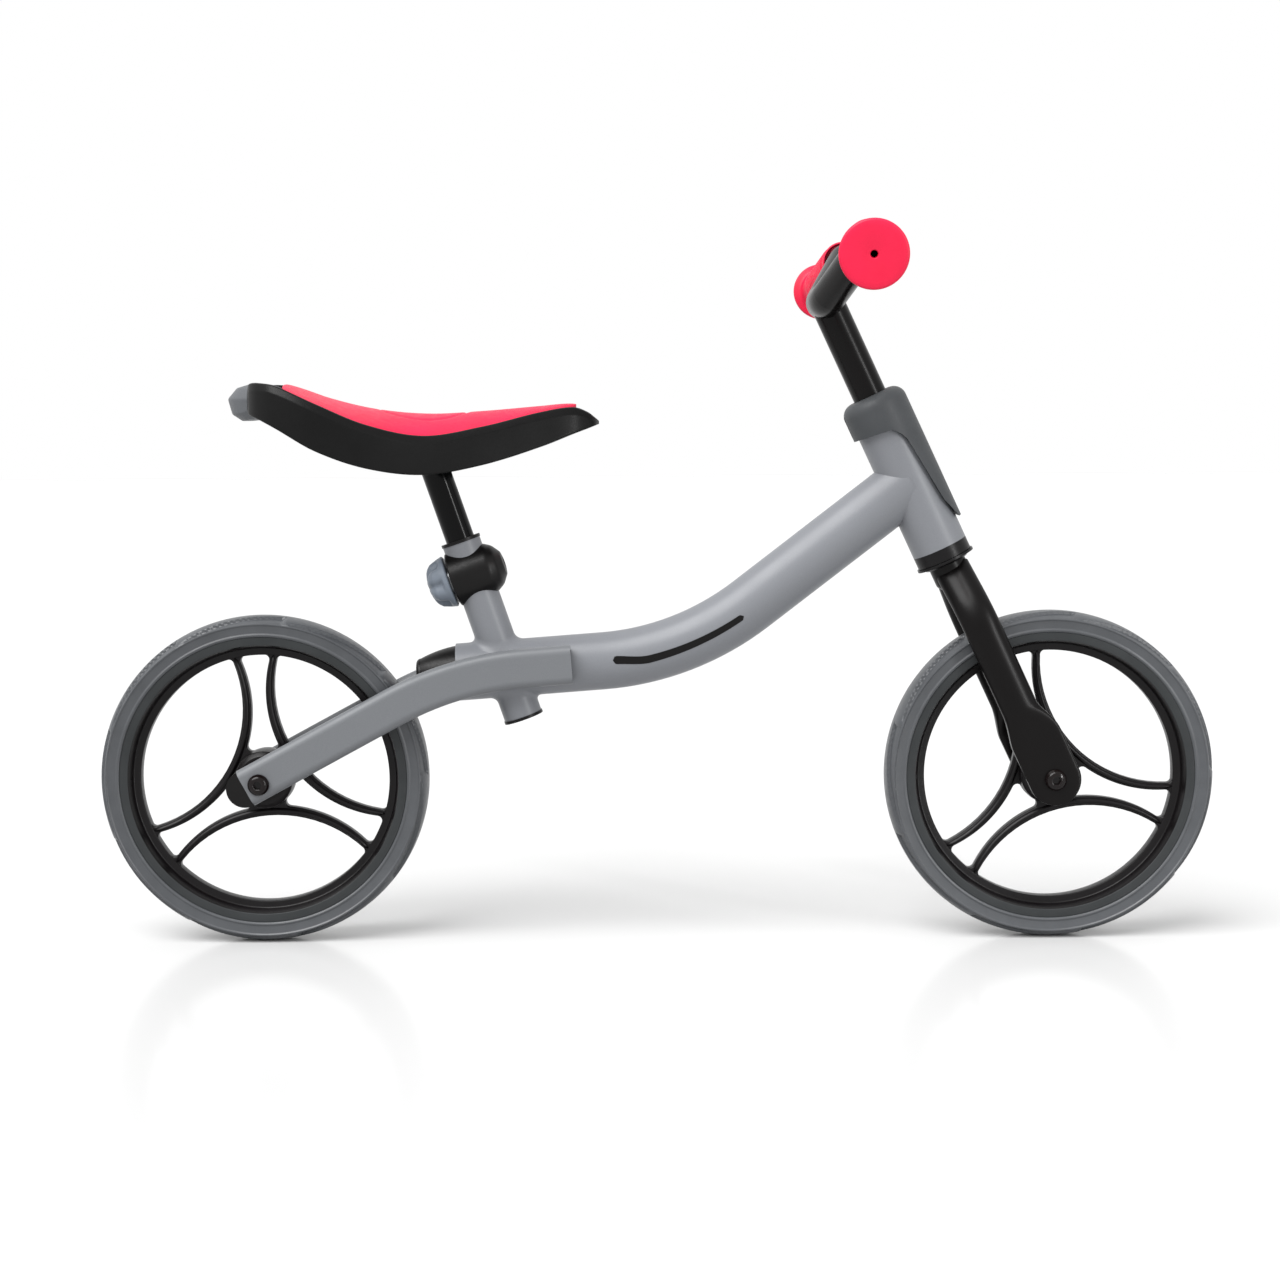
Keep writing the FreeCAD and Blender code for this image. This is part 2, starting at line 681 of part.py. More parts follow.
def head_cover():
    """Shell over the head tube's top with an apron down its front."""
    outside = domed_column(COVER_R, COVER_TOP, COVER_DOME_R)
    inside = domed_column(COVER_R - COVER_WALL, COVER_TOP - COVER_WALL, COVER_DOME_R - COVER_WALL)
    stem_hole = cylinder(vec(0, 0, COVER_TIP), Z_AXIS, COVER_BORE_R, COVER_TOP)
    shell = outside.cut(inside).cut(stem_hole)
    below = [(-40, -10), (-40, 86), (-19.5, 86), (-5.5, 84.7), (2.5, 83.5), (6.5, 79),
             (8.7, 74.2), (11.4, 52.2), (14.3, 28.5), (19.5, COVER_TIP), (40, COVER_TIP), (40, -10)]
    shell = shell.cut(side_plate(below, -40, 40))
    slit = box(vec(-THROUGH, -SLIT_HALF_WIDTH, SLIT_BOTTOM), vec(-STEM_R, SLIT_HALF_WIDTH, SLIT_TOP))
    seat = vec(COVER_SCREW_SEAT, 0, COVER_SCREW_HEIGHT)
    recess = cylinder(seat, X_AXIS, COVER_SCREW_HEAD_R + RUNNING, THROUGH)
    return placed(shell.cut(slit).cut(cover_screw_hole()).cut(recess), STEERING)


def cover_screw_hole():
    return cylinder(vec(0, 0, COVER_SCREW_HEIGHT), X_AXIS, COVER_SCREW_SHANK_R + RUNNING, THROUGH)


def cover_screw():
    """Screw whose head sits in a recess in the cover's apron."""
    head = cylinder(vec(COVER_SCREW_SEAT, 0, COVER_SCREW_HEIGHT), X_AXIS, COVER_SCREW_HEAD_R, 1.3)
    shank_start = HEAD_BORE_R - 1.0
    shank = cylinder(vec(shank_start, 0, COVER_SCREW_HEIGHT), X_AXIS, COVER_SCREW_SHANK_R,
                     COVER_SCREW_SEAT - shank_start)
    return placed(fused([head, shank]), STEERING)


# -------------------------------------------------------------------- fork

def crown_race():
    """Flanged seat on the fork's neck, just under the lower cup."""
    top = -CUP_HEIGHT - FACE_GAP
    outline = [(STEERER_R, top), (HEAD_R + 1.1, top), (HEAD_R + 1.1, top - 1.6),
               (NECK_R + 3.4, top - 2.2), (STEERER_R, top - 3.3)]
    return placed(revolved([vec(x, 0, z) for x, z in outline], vec(0, 0, 0), Z_AXIS), STEERING)


def steerer():
    tube = ring(vec(0, 0, NECK_TOP), Z_AXIS, STEERER_R, STEM_R + RUNNING, STEERER_TOP - NECK_TOP)
    tube = tube.cut(stem_screw_hole(GRUB_SCREW_R + 0.2))
    return placed(tube, STEERING)


def stem_screw_hole(radius):
    return cylinder(vec(-THROUGH, 0, STEM_SCREW_HEIGHT), X_AXIS, radius, THROUGH)


def stem_collar():
    """Collar on top of the steerer that holds the stem's grub screw."""
    collar = ring(vec(0, 0, COLLAR_BOTTOM), Z_AXIS, COLLAR_R, STEERER_R, STEERER_TOP - COLLAR_BOTTOM)
    return placed(collar.cut(stem_screw_hole(GRUB_SCREW_R)), STEERING)


def stem_grub_screw():
    outer_end = vec(-(STEM_R + FACE_GAP + GRUB_SCREW_LENGTH), 0, STEM_SCREW_HEIGHT)
    screw = cylinder(outer_end, X_AXIS, GRUB_SCREW_R, GRUB_SCREW_LENGTH)
    socket = cylinder(outer_end, X_AXIS, GRUB_SOCKET_R, GRUB_SCREW_LENGTH / 2)
    return placed(screw.cut(socket), STEERING)


def neck_solid():
    return cylinder(vec(0, 0, NECK_BOTTOM), Z_AXIS, NECK_R, NECK_TOP - NECK_BOTTOM)


def fork_neck():
    neck = neck_solid()
    rim = [edge for edge in neck.Edges if edge.BoundBox.ZMax < NECK_BOTTOM + 0.1]
    return placed(neck.makeFillet(5.0, rim), STEERING)


def axle_in_steering():
    return STEERING.inverse().multVec(FRONT_AXLE)


def leg_tube():
    """Bent upper part of the left leg, from the neck down to its flattened end."""
    points = [LEG_TOP, LEG_CORNER, LEG_END]
    normal = (LEG_CORNER - LEG_TOP).cross(LEG_END - LEG_CORNER).normalize()
    section = flat_oval(LEG_DEPTH, LEG_WIDTH, LEG_WIDTH / 2 - 0.2)
    tube = swept(section, rounded_path(points, LEG_BEND_R), normal)
    return tube.common(box(vec(-60, 0.2, -200), vec(60, 60, NECK_TOP)))


def leg_flattening():
    """Change of section from the oval tube to the flat tab."""
    upper = flat_oval(LEG_DEPTH, LEG_WIDTH, LEG_WIDTH / 2 - 0.2)
    upper.Placement = FreeCAD.Placement(LEG_END, FreeCAD.Rotation())
    thickness = TAB_OUTER_Y - TAB_INNER_Y
    lower = flat_oval(2 * TAB_R - 1, thickness, 1.5)
    centre = vec(axle_in_steering().x, (TAB_INNER_Y + TAB_OUTER_Y) / 2, TAB_TOP)
    lower.Placement = FreeCAD.Placement(centre, FreeCAD.Rotation())
    return Part.makeLoft([upper, lower], True, True)


def leg_tab():
    axle = axle_in_steering()
    disc = across(TAB_R, TAB_INNER_Y, TAB_OUTER_Y, axle.x, axle.z)
    half = TAB_R - 0.5
    plate = box(vec(axle.x - half, TAB_INNER_Y, axle.z), vec(axle.x + half, TAB_OUTER_Y, TAB_TOP))
    hole = across(AXLE_R + RUNNING, 0, THROUGH, axle.x, axle.z)
    return fused([disc, plate]).cut(hole)


def fork_leg_left():
    leg = fused([leg_tube(), leg_flattening(), leg_tab()])
    return placed(leg.cut(neck_solid()), STEERING)


# --------------------------------------------------------------- handlebar

def stem():
    bar = handlebar_solid(BAR_R)
    local_centre = STEERING.inverse().multVec(BAR_CENTRE)
    tube = ring(vec(0, 0, STEM_BOTTOM), Z_AXIS, STEM_R, STEM_R - BAR_WALL, local_centre.z - STEM_BOTTOM)
    return placed(tube, STEERING).cut(bar)


def half_bar(radius):
    """Left half of the bar, from the middle plane to the grip's outer end."""
    foot = vec(BAR_CENTRE.x, BAR_FLAT_Y, BAR_CENTRE.z)
    middle = vec(BAR_CENTRE.x, 0, BAR_CENTRE.z)
    halfway = (foot + BAR_SHOULDER) * 0.5
    lower = swept_bend([middle, foot, halfway], BAR_FOOT_BEND_R, radius)
    upper = swept_bend([halfway, BAR_SHOULDER, BAR_END], BAR_SHOULDER_BEND_R, radius)
    return fused([lower, upper])


def swept_bend(points, bend_radius, radius):
    normal = (points[1] - points[0]).cross(points[2] - points[1]).normalize()
    return swept(round_section(radius), rounded_path(points, bend_radius), normal)


def handlebar_solid(radius):
    half = half_bar(radius)
    return fused([half, mirrored(half)])


def handlebar():
    return handlebar_solid(BAR_R).cut(handlebar_solid(BAR_R - BAR_WALL))


def grip_left():
    """Rubber grip: a barrel cupped at its inner end, with a guard flange outside."""
    outward = (BAR_END - BAR_SHOULDER).normalize()
    start = BAR_END - outward * (GRIP_LENGTH - GRIP_FLANGE)
    barrel = cylinder(start, outward, GRIP_R, GRIP_LENGTH - GRIP_FLANGE / 2)
    flange = cylinder(BAR_END, outward, GRIP_FLANGE_R, GRIP_FLANGE)
    bore = cylinder(start - outward, outward, BAR_R, GRIP_LENGTH - GRIP_FLANGE + 1)
    cup = cylinder(start - outward, outward, GRIP_CUP_R, GRIP_CUP_DEPTH + 1)
    vent = cylinder(BAR_END - outward, outward, GRIP_VENT_R, GRIP_FLANGE + 2)
    return fused([barrel, flange]).cut(bore).cut(cup).cut(vent)


# ------------------------------------------------------------------ wheels

def rim_body():
    """Rim channel, inner web ring, hub and curved spokes, as one moulding."""
    half = RIM_HALF_WIDTH
    channel = wheel_turned([(-half, BEAD_R), (-10.5, 88.8), (-4.0, 86.4), (-4.0, WEB_R), (4.0, WEB_R),
                            (4.0, 86.4), (10.5, 88.8), (half, BEAD_R), (half - 2.4, BEAD_R),
                            (half - 4.6, WELL_R), (4.6 - half, WELL_R), (2.4 - half, BEAD_R)])
    hub = ring_across(HUB_R, BEARING_R, -HUB_HALF_LENGTH, HUB_HALF_LENGTH)
    inner_edge = BEARING_OUTER_FACE_Y - BEARING_WIDTH
    hub = fused([hub, ring_across(BEARING_R, BEARING_R - 1.6, -inner_edge, inner_edge)])
    return fused([channel, hub] + [spoke(120 * step) for step in range(3)])


def spoke(angle):
    """Arc-shaped double spoke that passes beside the hub, rim to rim."""
    direction = vec(math.cos(math.radians(angle)), 0, math.sin(math.radians(angle)))
    outer_centre = direction * SPOKE_ARC_OFFSET
    inner_centre = direction * (SPOKE_ARC_OFFSET + SPOKE_TAPER)
    inner_radius = SPOKE_ARC_R - SPOKE_ROOT + SPOKE_TAPER
    half = SPOKE_HALF_THICKNESS
    outer = across(SPOKE_ARC_R, -half, half, outer_centre.x, outer_centre.z)
    inner = across(inner_radius, -half, half, inner_centre.x, inner_centre.z)
    keep = ring_across(WEB_R + WEB_OVERLAP, BEARING_R + WEB_OVERLAP, -half, half)
    return outer.cut(inner).common(keep)


def rim(axle, angle):
    turned = placed(rim_body(), FreeCAD.Placement(vec(0, 0, 0), FreeCAD.Rotation(Y_AXIS, -angle)))
    return at_point(turned, axle)


def tread_dents():
    """Shallow wave-shaped recesses on both shoulders of the tread."""
    dents = []
    for step in range(TREAD_DENTS):
        for side in (-1, 1):
            angle = 360 / TREAD_DENTS * (step + 0.25 * (side + 1))
            dent = Part.makeSphere(DENT_R, vec(0, side * DENT_Y, DENT_RADIUS))
            dents.append(placed(dent, FreeCAD.Placement(vec(0, 0, 0), FreeCAD.Rotation(Y_AXIS, angle))))
    return Part.makeCompound(dents)


def tyre_body():
    half = TYRE_HALF_WIDTH
    seat = RIM_HALF_WIDTH - 2.4
    profile = [vec(0, y, r) for y, r in (
        (-half, TYRE_SHOULDER_R), (-RIM_HALF_WIDTH, BEAD_R), (-seat, BEAD_R), (-(seat - 2.2), WELL_R),
        (seat - 2.2, WELL_R), (seat, BEAD_R), (RIM_HALF_WIDTH, BEAD_R), (half, TYRE_SHOULDER_R))]
    edges = [Part.makeLine(a, b) for a, b in zip(profile, profile[1:])]
    edges.append(Part.Arc(profile[-1], vec(0, 0, WHEEL_R), profile[0]).toShape())
    return Part.Face(Part.Wire(edges)).revolve(vec(0, 0, 0), Y_AXIS, 360)


def tyre(axle):
    return at_point(tyre_body().cut(tread_dents()), axle)


def on_both_sides(shape):
    return [shape, mirrored(shape)]


def ball_track():
    middle = BEARING_OUTER_FACE_Y - BEARING_WIDTH / 2
    return Part.makeTorus(BALL_CIRCLE_R, BALL_R + RUNNING, vec(0, middle, 0), Y_AXIS)


def outer_races(axle):
    inner_y = BEARING_OUTER_FACE_Y - BEARING_WIDTH
    race = ring_across(BEARING_R, BALL_CIRCLE_R + RACE_GAP, inner_y, BEARING_OUTER_FACE_Y)
    race = race.cut(ball_track())
    return at_point(Part.makeCompound(on_both_sides(race)), axle)


def inner_races(axle):
    inner_y = BEARING_OUTER_FACE_Y - BEARING_WIDTH
    race = ring_across(BALL_CIRCLE_R - RACE_GAP, BEARING_BORE_R, inner_y, BEARING_OUTER_FACE_Y)
    race = race.cut(ball_track())
    return at_point(Part.makeCompound(on_both_sides(race)), axle)


def bearing_balls(axle):
    middle = BEARING_OUTER_FACE_Y - BEARING_WIDTH / 2
    balls = []
    for step in range(BALL_COUNT):
        angle = 2 * math.pi * step / BALL_COUNT
        centre = vec(BALL_CIRCLE_R * math.cos(angle), middle, BALL_CIRCLE_R * math.sin(angle))
        balls.extend(on_both_sides(Part.makeSphere(BALL_R, centre)))
    return at_point(Part.makeCompound(balls), axle)


def axle_spacers(axle, support_y):
    """Tube between the bearings and one spacer outside each of them."""
    inner_y = BEARING_OUTER_FACE_Y - BEARING_WIDTH
    middle = ring_across(BALL_CIRCLE_R - RACE_GAP, BEARING_BORE_R, -inner_y, inner_y)
    outside = ring_across(AXLE_SPACER_R, BEARING_BORE_R, BEARING_OUTER_FACE_Y, support_y)
    return at_point(Part.makeCompound([middle] + on_both_sides(outside)), axle)


def domed_head(y_base, direction):
    """Button head on an axle: a low dome with a flat top."""
    outline = [(0, 0), (0, AXLE_HEAD_R), (1.6, AXLE_HEAD_R), (3.4, AXLE_HEAD_R - 1.4),
               (AXLE_HEAD_HEIGHT, AXLE_HEAD_R - 3.4), (AXLE_HEAD_HEIGHT, 0)]
    return wheel_turned([(y_base + direction * y, r) for y, r in outline])


def hex_socket(y_base, direction):
    corners = []
    for step in range(6):
        angle = math.radians(60 * step)
        corners.append(vec(AXLE_SOCKET_R * math.cos(angle), y_base, AXLE_SOCKET_R * math.sin(angle)))
    face = Part.Face(Part.makePolygon(corners + corners[:1]))
    return face.extrude(vec(0, direction * AXLE_SOCKET_DEPTH, 0))


def axle_bolt(axle, support_y):
    """Bolt put in from the rider's right; its head bears on the support."""
    head = domed_head(-support_y, -1).cut(hex_socket(-support_y - AXLE_HEAD_HEIGHT, 1))
    shank = across(AXLE_R, -support_y, support_y + AXLE_THREAD_IN_NUT)
    return at_point(fused([head, shank]), axle)


def axle_nut(axle, support_y):
    """Domed nut on the axle bolt's end, with a blind thread."""
    nut = domed_head(support_y, 1)
    thread = across(AXLE_R, support_y, support_y + AXLE_THREAD_IN_NUT)
    return at_point(nut.cut(thread), axle)


# ------------------------------------------------------------------- build

def pieces():
    """Every node's name and shape."""
    nodes = {
        "main_tube": main_tube(),
        "head_tube": head_tube(),
        "seat_tube": seat_tube(),
        "stay_left": stay_left(),
        "stay_right": mirrored(stay_left()),
        "stay_plug_left": stay_plug_left(),
        "stay_plug_right": mirrored(stay_plug_left()),
        "main_tube_end_cap": main_tube_end_cap(),
        "seat_bush_upper": seat_bush(False),
        "seat_bush_lower": seat_bush(True),
        "seat_clamp_body": seat_clamp_body(),
        "clamp_bush": clamp_bush(),
        "knob_washer": knob_washer(),
        "clamp_screw": clamp_screw(),
        "seat_knob": seat_knob(),
        "seat_post": seat_post(),
        "saddle_bracket": saddle_bracket(),
        "saddle_screws": saddle_screws(),
        "saddle_shell": saddle_shell(),
        "saddle_pad": saddle_pad(),
        "tail_grip": tail_grip(),
        "lower_cup": lower_cup(),
        "upper_cup": upper_cup(),
        "head_cover": head_cover(),
        "cover_screw": cover_screw(),
        "crown_race": crown_race(),
        "steerer": steerer(),
        "stem_collar": stem_collar(),
        "stem_grub_screw": stem_grub_screw(),
        "fork_neck": fork_neck(),
        "fork_leg_left": fork_leg_left(),
        "fork_leg_right": mirrored(fork_leg_left()),
        "stem": stem(),
        "handlebar": handlebar(),
        "grip_left": grip_left(),
        "grip_right": mirrored(grip_left()),
    }
    wheels = (
        ("rear", REAR_AXLE, DROPOUT_INNER_Y, DROPOUT_OUTER_Y, REAR_SPOKE_ANGLE),
        ("front", FRONT_AXLE, TAB_INNER_Y, TAB_OUTER_Y, FRONT_SPOKE_ANGLE),
    )
    for name, axle, inner_y, outer_y, angle in wheels:
        nodes[name + "_rim"] = rim(axle, angle)
        nodes[name + "_tyre"] = tyre(axle)
        nodes[name + "_outer_races"] = outer_races(axle)
        nodes[name + "_inner_races"] = inner_races(axle)
        nodes[name + "_bearing_balls"] = bearing_balls(axle)
        nodes[name + "_axle_spacers"] = axle_spacers(axle, inner_y)
        nodes[name + "_axle_bolt"] = axle_bolt(axle, outer_y)
        nodes[name + "_axle_nut"] = axle_nut(axle, outer_y)
    return nodes


os.makedirs("parts", exist_ok=True)
for node, shape in pieces().items():
    shape.exportStep("parts/" + node + ".step")
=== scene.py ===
"""Looks of a toddler's balance bike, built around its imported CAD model.

Named lengths are in millimetres; MM turns them into Blender's metres.  +X is
forwards, +Y the rider's left and +Z up, as in the CAD model.  Local frames:
steering (origin at the head tube's lower end, +Z up the steering axis), seat
(origin at the seat tube's lower end, +Z up the tube) and one frame per wheel
and grip, whose +Z is the axle's or the bar's own axis.
"""

import json
import math

import bmesh
import bpy
from mathutils import Matrix, Vector


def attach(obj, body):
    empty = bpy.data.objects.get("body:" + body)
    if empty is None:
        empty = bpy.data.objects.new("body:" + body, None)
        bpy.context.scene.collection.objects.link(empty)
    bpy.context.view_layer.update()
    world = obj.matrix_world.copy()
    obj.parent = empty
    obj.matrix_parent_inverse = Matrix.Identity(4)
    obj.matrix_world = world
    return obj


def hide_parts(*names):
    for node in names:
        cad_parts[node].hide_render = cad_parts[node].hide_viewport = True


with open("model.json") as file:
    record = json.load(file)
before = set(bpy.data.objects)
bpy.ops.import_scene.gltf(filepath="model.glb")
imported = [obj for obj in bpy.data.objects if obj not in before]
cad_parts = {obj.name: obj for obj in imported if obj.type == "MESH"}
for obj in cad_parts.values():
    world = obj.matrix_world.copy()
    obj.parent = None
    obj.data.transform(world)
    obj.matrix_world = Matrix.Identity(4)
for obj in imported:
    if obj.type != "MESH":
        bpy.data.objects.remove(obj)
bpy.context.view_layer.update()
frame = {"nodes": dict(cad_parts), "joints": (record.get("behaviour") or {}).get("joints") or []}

MM = 0.001
X_AXIS = Vector((1, 0, 0))
Y_AXIS = Vector((0, 1, 0))
Z_AXIS = Vector((0, 0, 1))

# Camera
LENS = 64.82
CAMERA_AT = Vector((-0.00789, -1.51021, 0.34293))
CAMERA_PITCH = 0.0958
CAMERA_YAW = -0.0017
CAMERA_ROLL = -0.0066

# Lights and floor, balanced so that the open floor comes out nearly as white as the surroundings
KEY_FROM = Vector((-0.45, -0.42, 0.8))
KEY_STRENGTH = 5.0
KEY_ANGLE = math.radians(50)
STRIP_AT = Vector((1.6, -1.5, 0.6))
STRIP_SIZE = (0.16, 1.6)
STRIP_POWER = 24.0
FLOOR_GREY = (184, 184, 184)
FLOOR_REACH = 12.0

# Height of the knob's axis along the seat axis, as in the CAD model
KNOB_HEIGHT = 99.3

# Main tube
TUBE_R = 18.9
TUBE_CORNER = Vector((19.3, 0, 188.1))
REAR_RUN_ANGLE = math.radians(4.1)
FRONT_RUN_ANGLE = math.radians(37.4)
TUBE_BEND_R = 182.0
SEAT_TUBE_R = 12.7

# Stripe's centre line above the main tube's own, and its rise at the rear end
STRIPE_HEIGHT = -1.9
STRIPE_LIFT = 3.4
STRIPE_START_X = -28.0
STRIPE_LEVEL_X = -4.0
STRIPE_STEP = 1.4
STRIPE_STEPS = 60

# Wheels
WHEEL_R = 108.0
BEAD_R = 94.5
TYRE_HALF_WIDTH = 15.5
TYRE_SHOULDER_R = 103.3
RIM_HALF_WIDTH = 13.4
WEB_R = 82.0
HUB_R = 19.5
HUB_HALF_LENGTH = 13.6
BEARING_R = 11.0
SPOKE_OUTER = (102.3, 83.6)
SPOKE_INNER = (107.7, 82.6)
SPOKE_ANGLES = {"rear": 33.9, "front": 44.7}
WEB_HALF_THICKNESS = 4.0
RIB_HALF_THICKNESS = 5.6
RIB_HALF_WIDTH = 2.3
SPOKE_FILLET = 3.2
TREAD_WAVES = 9
TREAD_DEPTH = 1.8

# Axle ends
AXLE_SUPPORT_Y = 31.5
AXLE_HEAD_R = 7.0
AXLE_HEAD_HEIGHT = 4.6
HEX_R = 2.9

# Fork legs in the steering frame, and the flat tabs that hold the axle
LEG_CORNERS = [Vector((1.2, 3, -15.5)), Vector((1.2, 25.6, -47)), Vector((1.2, 25.6, -114))]
LEG_BEND_R = 42.0
LEG_HALF_DEPTH = 12.0
LEG_HALF_WIDTH = 7.4
LEG_SQUARENESS = 2.0
LEG_SHARP = 38.0
LEG_GAP = 0.2
TAB_TOP = -138.0
TAB_R = 17.0
TAB_Y = 27.5
TAB_HALF_THICKNESS = 4.0
TAB_SQUARENESS = 8.0
FLARE_STEPS = 12
TOE_STEPS = 16
TOE_LEAST = 0.12
NECK_TOP = -11.6

# Handlebar and grips
BAR_R = 11.1
BAR_SHOULDER = Vector((131.4, 82, 450.0))
BAR_END = Vector((123.6, 193, 434.8))
GRIP_LENGTH = 108.0
GRIP_R = 14.4
GRIP_FLANGE_R = 20.5
GRIP_FLANGE = 4.0
GRIP_CUP_R = 12.9
GRIP_CUP_DEPTH = 5.0
GRIP_RIBS = 13
FIRST_RIB = 9.0
RIB_PITCH = 5.7

# Seat knob along its axis, measured backwards from the seat tube's axis: (distance, radius)
KNOB_PROFILE = [(15.4, 16.6), (15.9, 17.3), (19.9, 16.2), (24.9, 14.4),
                (27.2, 12.2), (28.6, 9.8), (29.4, 7.0)]
KNOB_BASE = KNOB_PROFILE[0][0]
KNOB_FACE = KNOB_PROFILE[-1][0]
KNOB_LOBES = 6
KNOB_FLUTE = 3.0
# Steps down into the knob's face: (share of the face's radius, height above it)
KNOB_FACE_STEPS = ((0.85, 0.3), (0.7, 0.35), (0.6, -0.2), (0.2, -0.3))

JOINTS = {joint["name"]: joint for joint in frame["joints"]}


# -------------------- frames

def axis_frame(origin, along, forward=X_AXIS):
    """Matrix whose +Z runs along a direction and whose +X leans forwards."""
    z = Vector(along).normalized()
    y = z.cross(forward).normalized()
    x = y.cross(z)
    matrix = Matrix((x, y, z)).transposed().to_4x4()
    matrix.translation = Vector(origin)
    return matrix


STEERING = axis_frame(JOINTS["steering"]["pos_m"], JOINTS["steering"]["axis"])
SEAT_AXIS = Vector(JOINTS["seat_height"]["axis"])
SEATING = axis_frame(Vector(JOINTS["knob_turn"]["pos_m"]) - SEAT_AXIS * KNOB_HEIGHT * MM, SEAT_AXIS)
# Frame on the knob's axis whose +Z points backwards, away from the seat tube
KNOB_FRAME = axis_frame(JOINTS["knob_turn"]["pos_m"], JOINTS["knob_turn"]["axis"], SEAT_AXIS)
AXLES = {end: Vector(JOINTS[end + "_wheel_spin"]["pos_m"]) for end in ("rear", "front")}


def axle_frame(end, side=1):
    """Wheel frame whose +Z is the axle, pointing to the rider's left or right."""
    return axis_frame(AXLES[end], Y_AXIS * side)


# -------------------- mesh code

def grid_faces(rows, columns, wrap_rows=False, wrap_columns=True):
    """Quads of a grid of points stored row by row."""
    faces = []
    for row in range(rows if wrap_rows else rows - 1):
        for column in range(columns if wrap_columns else columns - 1):
            a = row * columns + column
            b = row * columns + (column + 1) % columns
            c = (row + 1) % rows * columns + (column + 1) % columns
            d = (row + 1) % rows * columns + column
            faces.append((a, b, c, d))
    return faces


def lathe(profile, segments=96):
    """A closed (height, radius) outline turned about local Z."""
    points = []
    for step in range(segments):
        turn = 2 * math.pi * step / segments
        points.extend(Vector((r * math.cos(turn), r * math.sin(turn), z)) for z, r in profile)
    return points, grid_faces(segments, len(profile), True, True)


def loft(rings):
    """Skin over closed rings of equally many points, with both ends filled."""
    points = [point for ring in rings for point in ring]
    columns = len(rings[0])
    faces = grid_faces(len(rings), columns)
    faces.append(tuple(reversed(range(columns))))
    faces.append(tuple(range(len(points) - columns, len(points))))
    return points, faces


def sweep(path, sections, across):
    """Sections of (side, up) points carried along a path; across is the side direction."""
    rings = []
    for index, point in enumerate(path):
        before = path[max(index - 1, 0)]
        after = path[min(index + 1, len(path) - 1)]
        along = (after - before).normalized()
        up = along.cross(across).normalized()
        side = up.cross(along)
        rings.append([point + side * a + up * b for a, b in sections[index]])
    return loft(rings)


def arc(centre, radius, start, end, steps):
    """Points of a plane arc, both ends included."""
    angles = [start + (end - start) * step / steps for step in range(steps + 1)]
    return [Vector((centre[0] + radius * math.cos(a), centre[1] + radius * math.sin(a))) for a in angles]


def short_arc(centre, radius, first, last, steps):
    """The shorter arc of a circle from one of its points to another."""
    start = math.atan2(first[1] - centre[1], first[0] - centre[0])
    end = math.atan2(last[1] - centre[1], last[0] - centre[0])
    turn = (end - start + math.pi) % (2 * math.pi) - math.pi
    return arc(centre, radius, start, start + turn, steps)


def rounded_outline(corners, steps=5):
    """Closed outline through (x, y, radius) corners, each rounded by its radius."""
    points = []
    for index, (x, y, radius) in enumerate(corners):
        corner = Vector((x, y))
        if radius == 0:
            points.append(corner)
            continue
        back = (Vector(corners[index - 1][:2]) - corner).normalized()
        ahead = (Vector(corners[(index + 1) % len(corners)][:2]) - corner).normalized()
        half = back.angle(ahead) / 2
        centre = corner + (back + ahead).normalized() * radius / math.sin(half)
        reach = radius / math.tan(half)
        points.extend(short_arc(centre, radius, corner + back * reach, corner + ahead * reach, steps))
    return points


def rounded_path(corners, radius, step=4.0):
    """Points along straight runs with a tangent arc at each inner corner."""
    points = [corners[0]]
    for before, corner, after in zip(corners, corners[1:], corners[2:]):
        back = (before - corner).normalized()
        ahead = (after - corner).normalized()
        half = back.angle(ahead) / 2
        reach = radius / math.tan(half)
        centre = corner + (back + ahead).normalized() * radius / math.sin(half)
        first = corner + back * reach - centre
        last = corner + ahead * reach - centre
        turn = first.angle(last)
        count = max(2, round(radius * turn / step))
        for index in range(count + 1):
            share = index / count
            weights = (math.sin((1 - share) * turn), math.sin(share * turn))
            points.append(centre + (first * weights[0] + last * weights[1]) / math.sin(turn))
    points.append(corners[-1])
    return points


def divided(path, step):
    """The same path with its long runs cut into steps."""
    points = [path[0]]
    for start, end in zip(path, path[1:]):
        count = max(1, math.ceil((end - start).length / step))
        points.extend(start.lerp(end, index / count) for index in range(1, count + 1))
    return points


def smooth_step(low, high, value):
    share = min(1.0, max(0.0, (value - low) / (high - low)))
    return share * share * (3 - 2 * share)


def joined(parts):
    """Several (points, faces) lists as one."""
    points = []
    faces = []
    for part_points, part_faces in parts:
        offset = len(points)
        points.extend(part_points)
        faces.extend(tuple(index + offset for index in face) for face in part_faces)
    return points, faces


def mirrored(shape):
    """The same shape on the other side of the bike."""
    points, faces = shape
    return [Vector((p.x, -p.y, p.z)) for p in points], [tuple(reversed(face)) for face in faces]


def placed(shape, matrix):
    """A millimetre shape from a local frame as a shape in metres in the bike's frame."""
    points, faces = shape
    return [matrix @ (point * MM) for point in points], faces


def in_metres(shape):
    """A millimetre shape in the bike's own frame, in metres."""
    return placed(shape, Matrix.Identity(4))


def new_object(name, data):
    """Object in the scene around a mesh, curve, camera or light."""
    thing = bpy.data.objects.new(name, data)
    bpy.context.scene.collection.objects.link(thing)
    return thing


def build_mesh(name, shape, sharp=35.0):
    """Mesh from a shape in metres: doubles merged, normals outwards, smooth but for sharp edges."""
    mesh = bpy.data.meshes.new(name)
    mesh.from_pydata([tuple(p) for p in shape[0]], [], shape[1])
    edit = bmesh.new()
    edit.from_mesh(mesh)
    bmesh.ops.remove_doubles(edit, verts=edit.verts, dist=1e-6)
    bmesh.ops.dissolve_degenerate(edit, edges=edit.edges, dist=1e-7)
    bmesh.ops.recalc_face_normals(edit, faces=edit.faces)
    edit.to_mesh(mesh)
    edit.free()
    mesh.shade_smooth()
    mesh.set_sharp_from_angle(angle=math.radians(sharp))
    return mesh


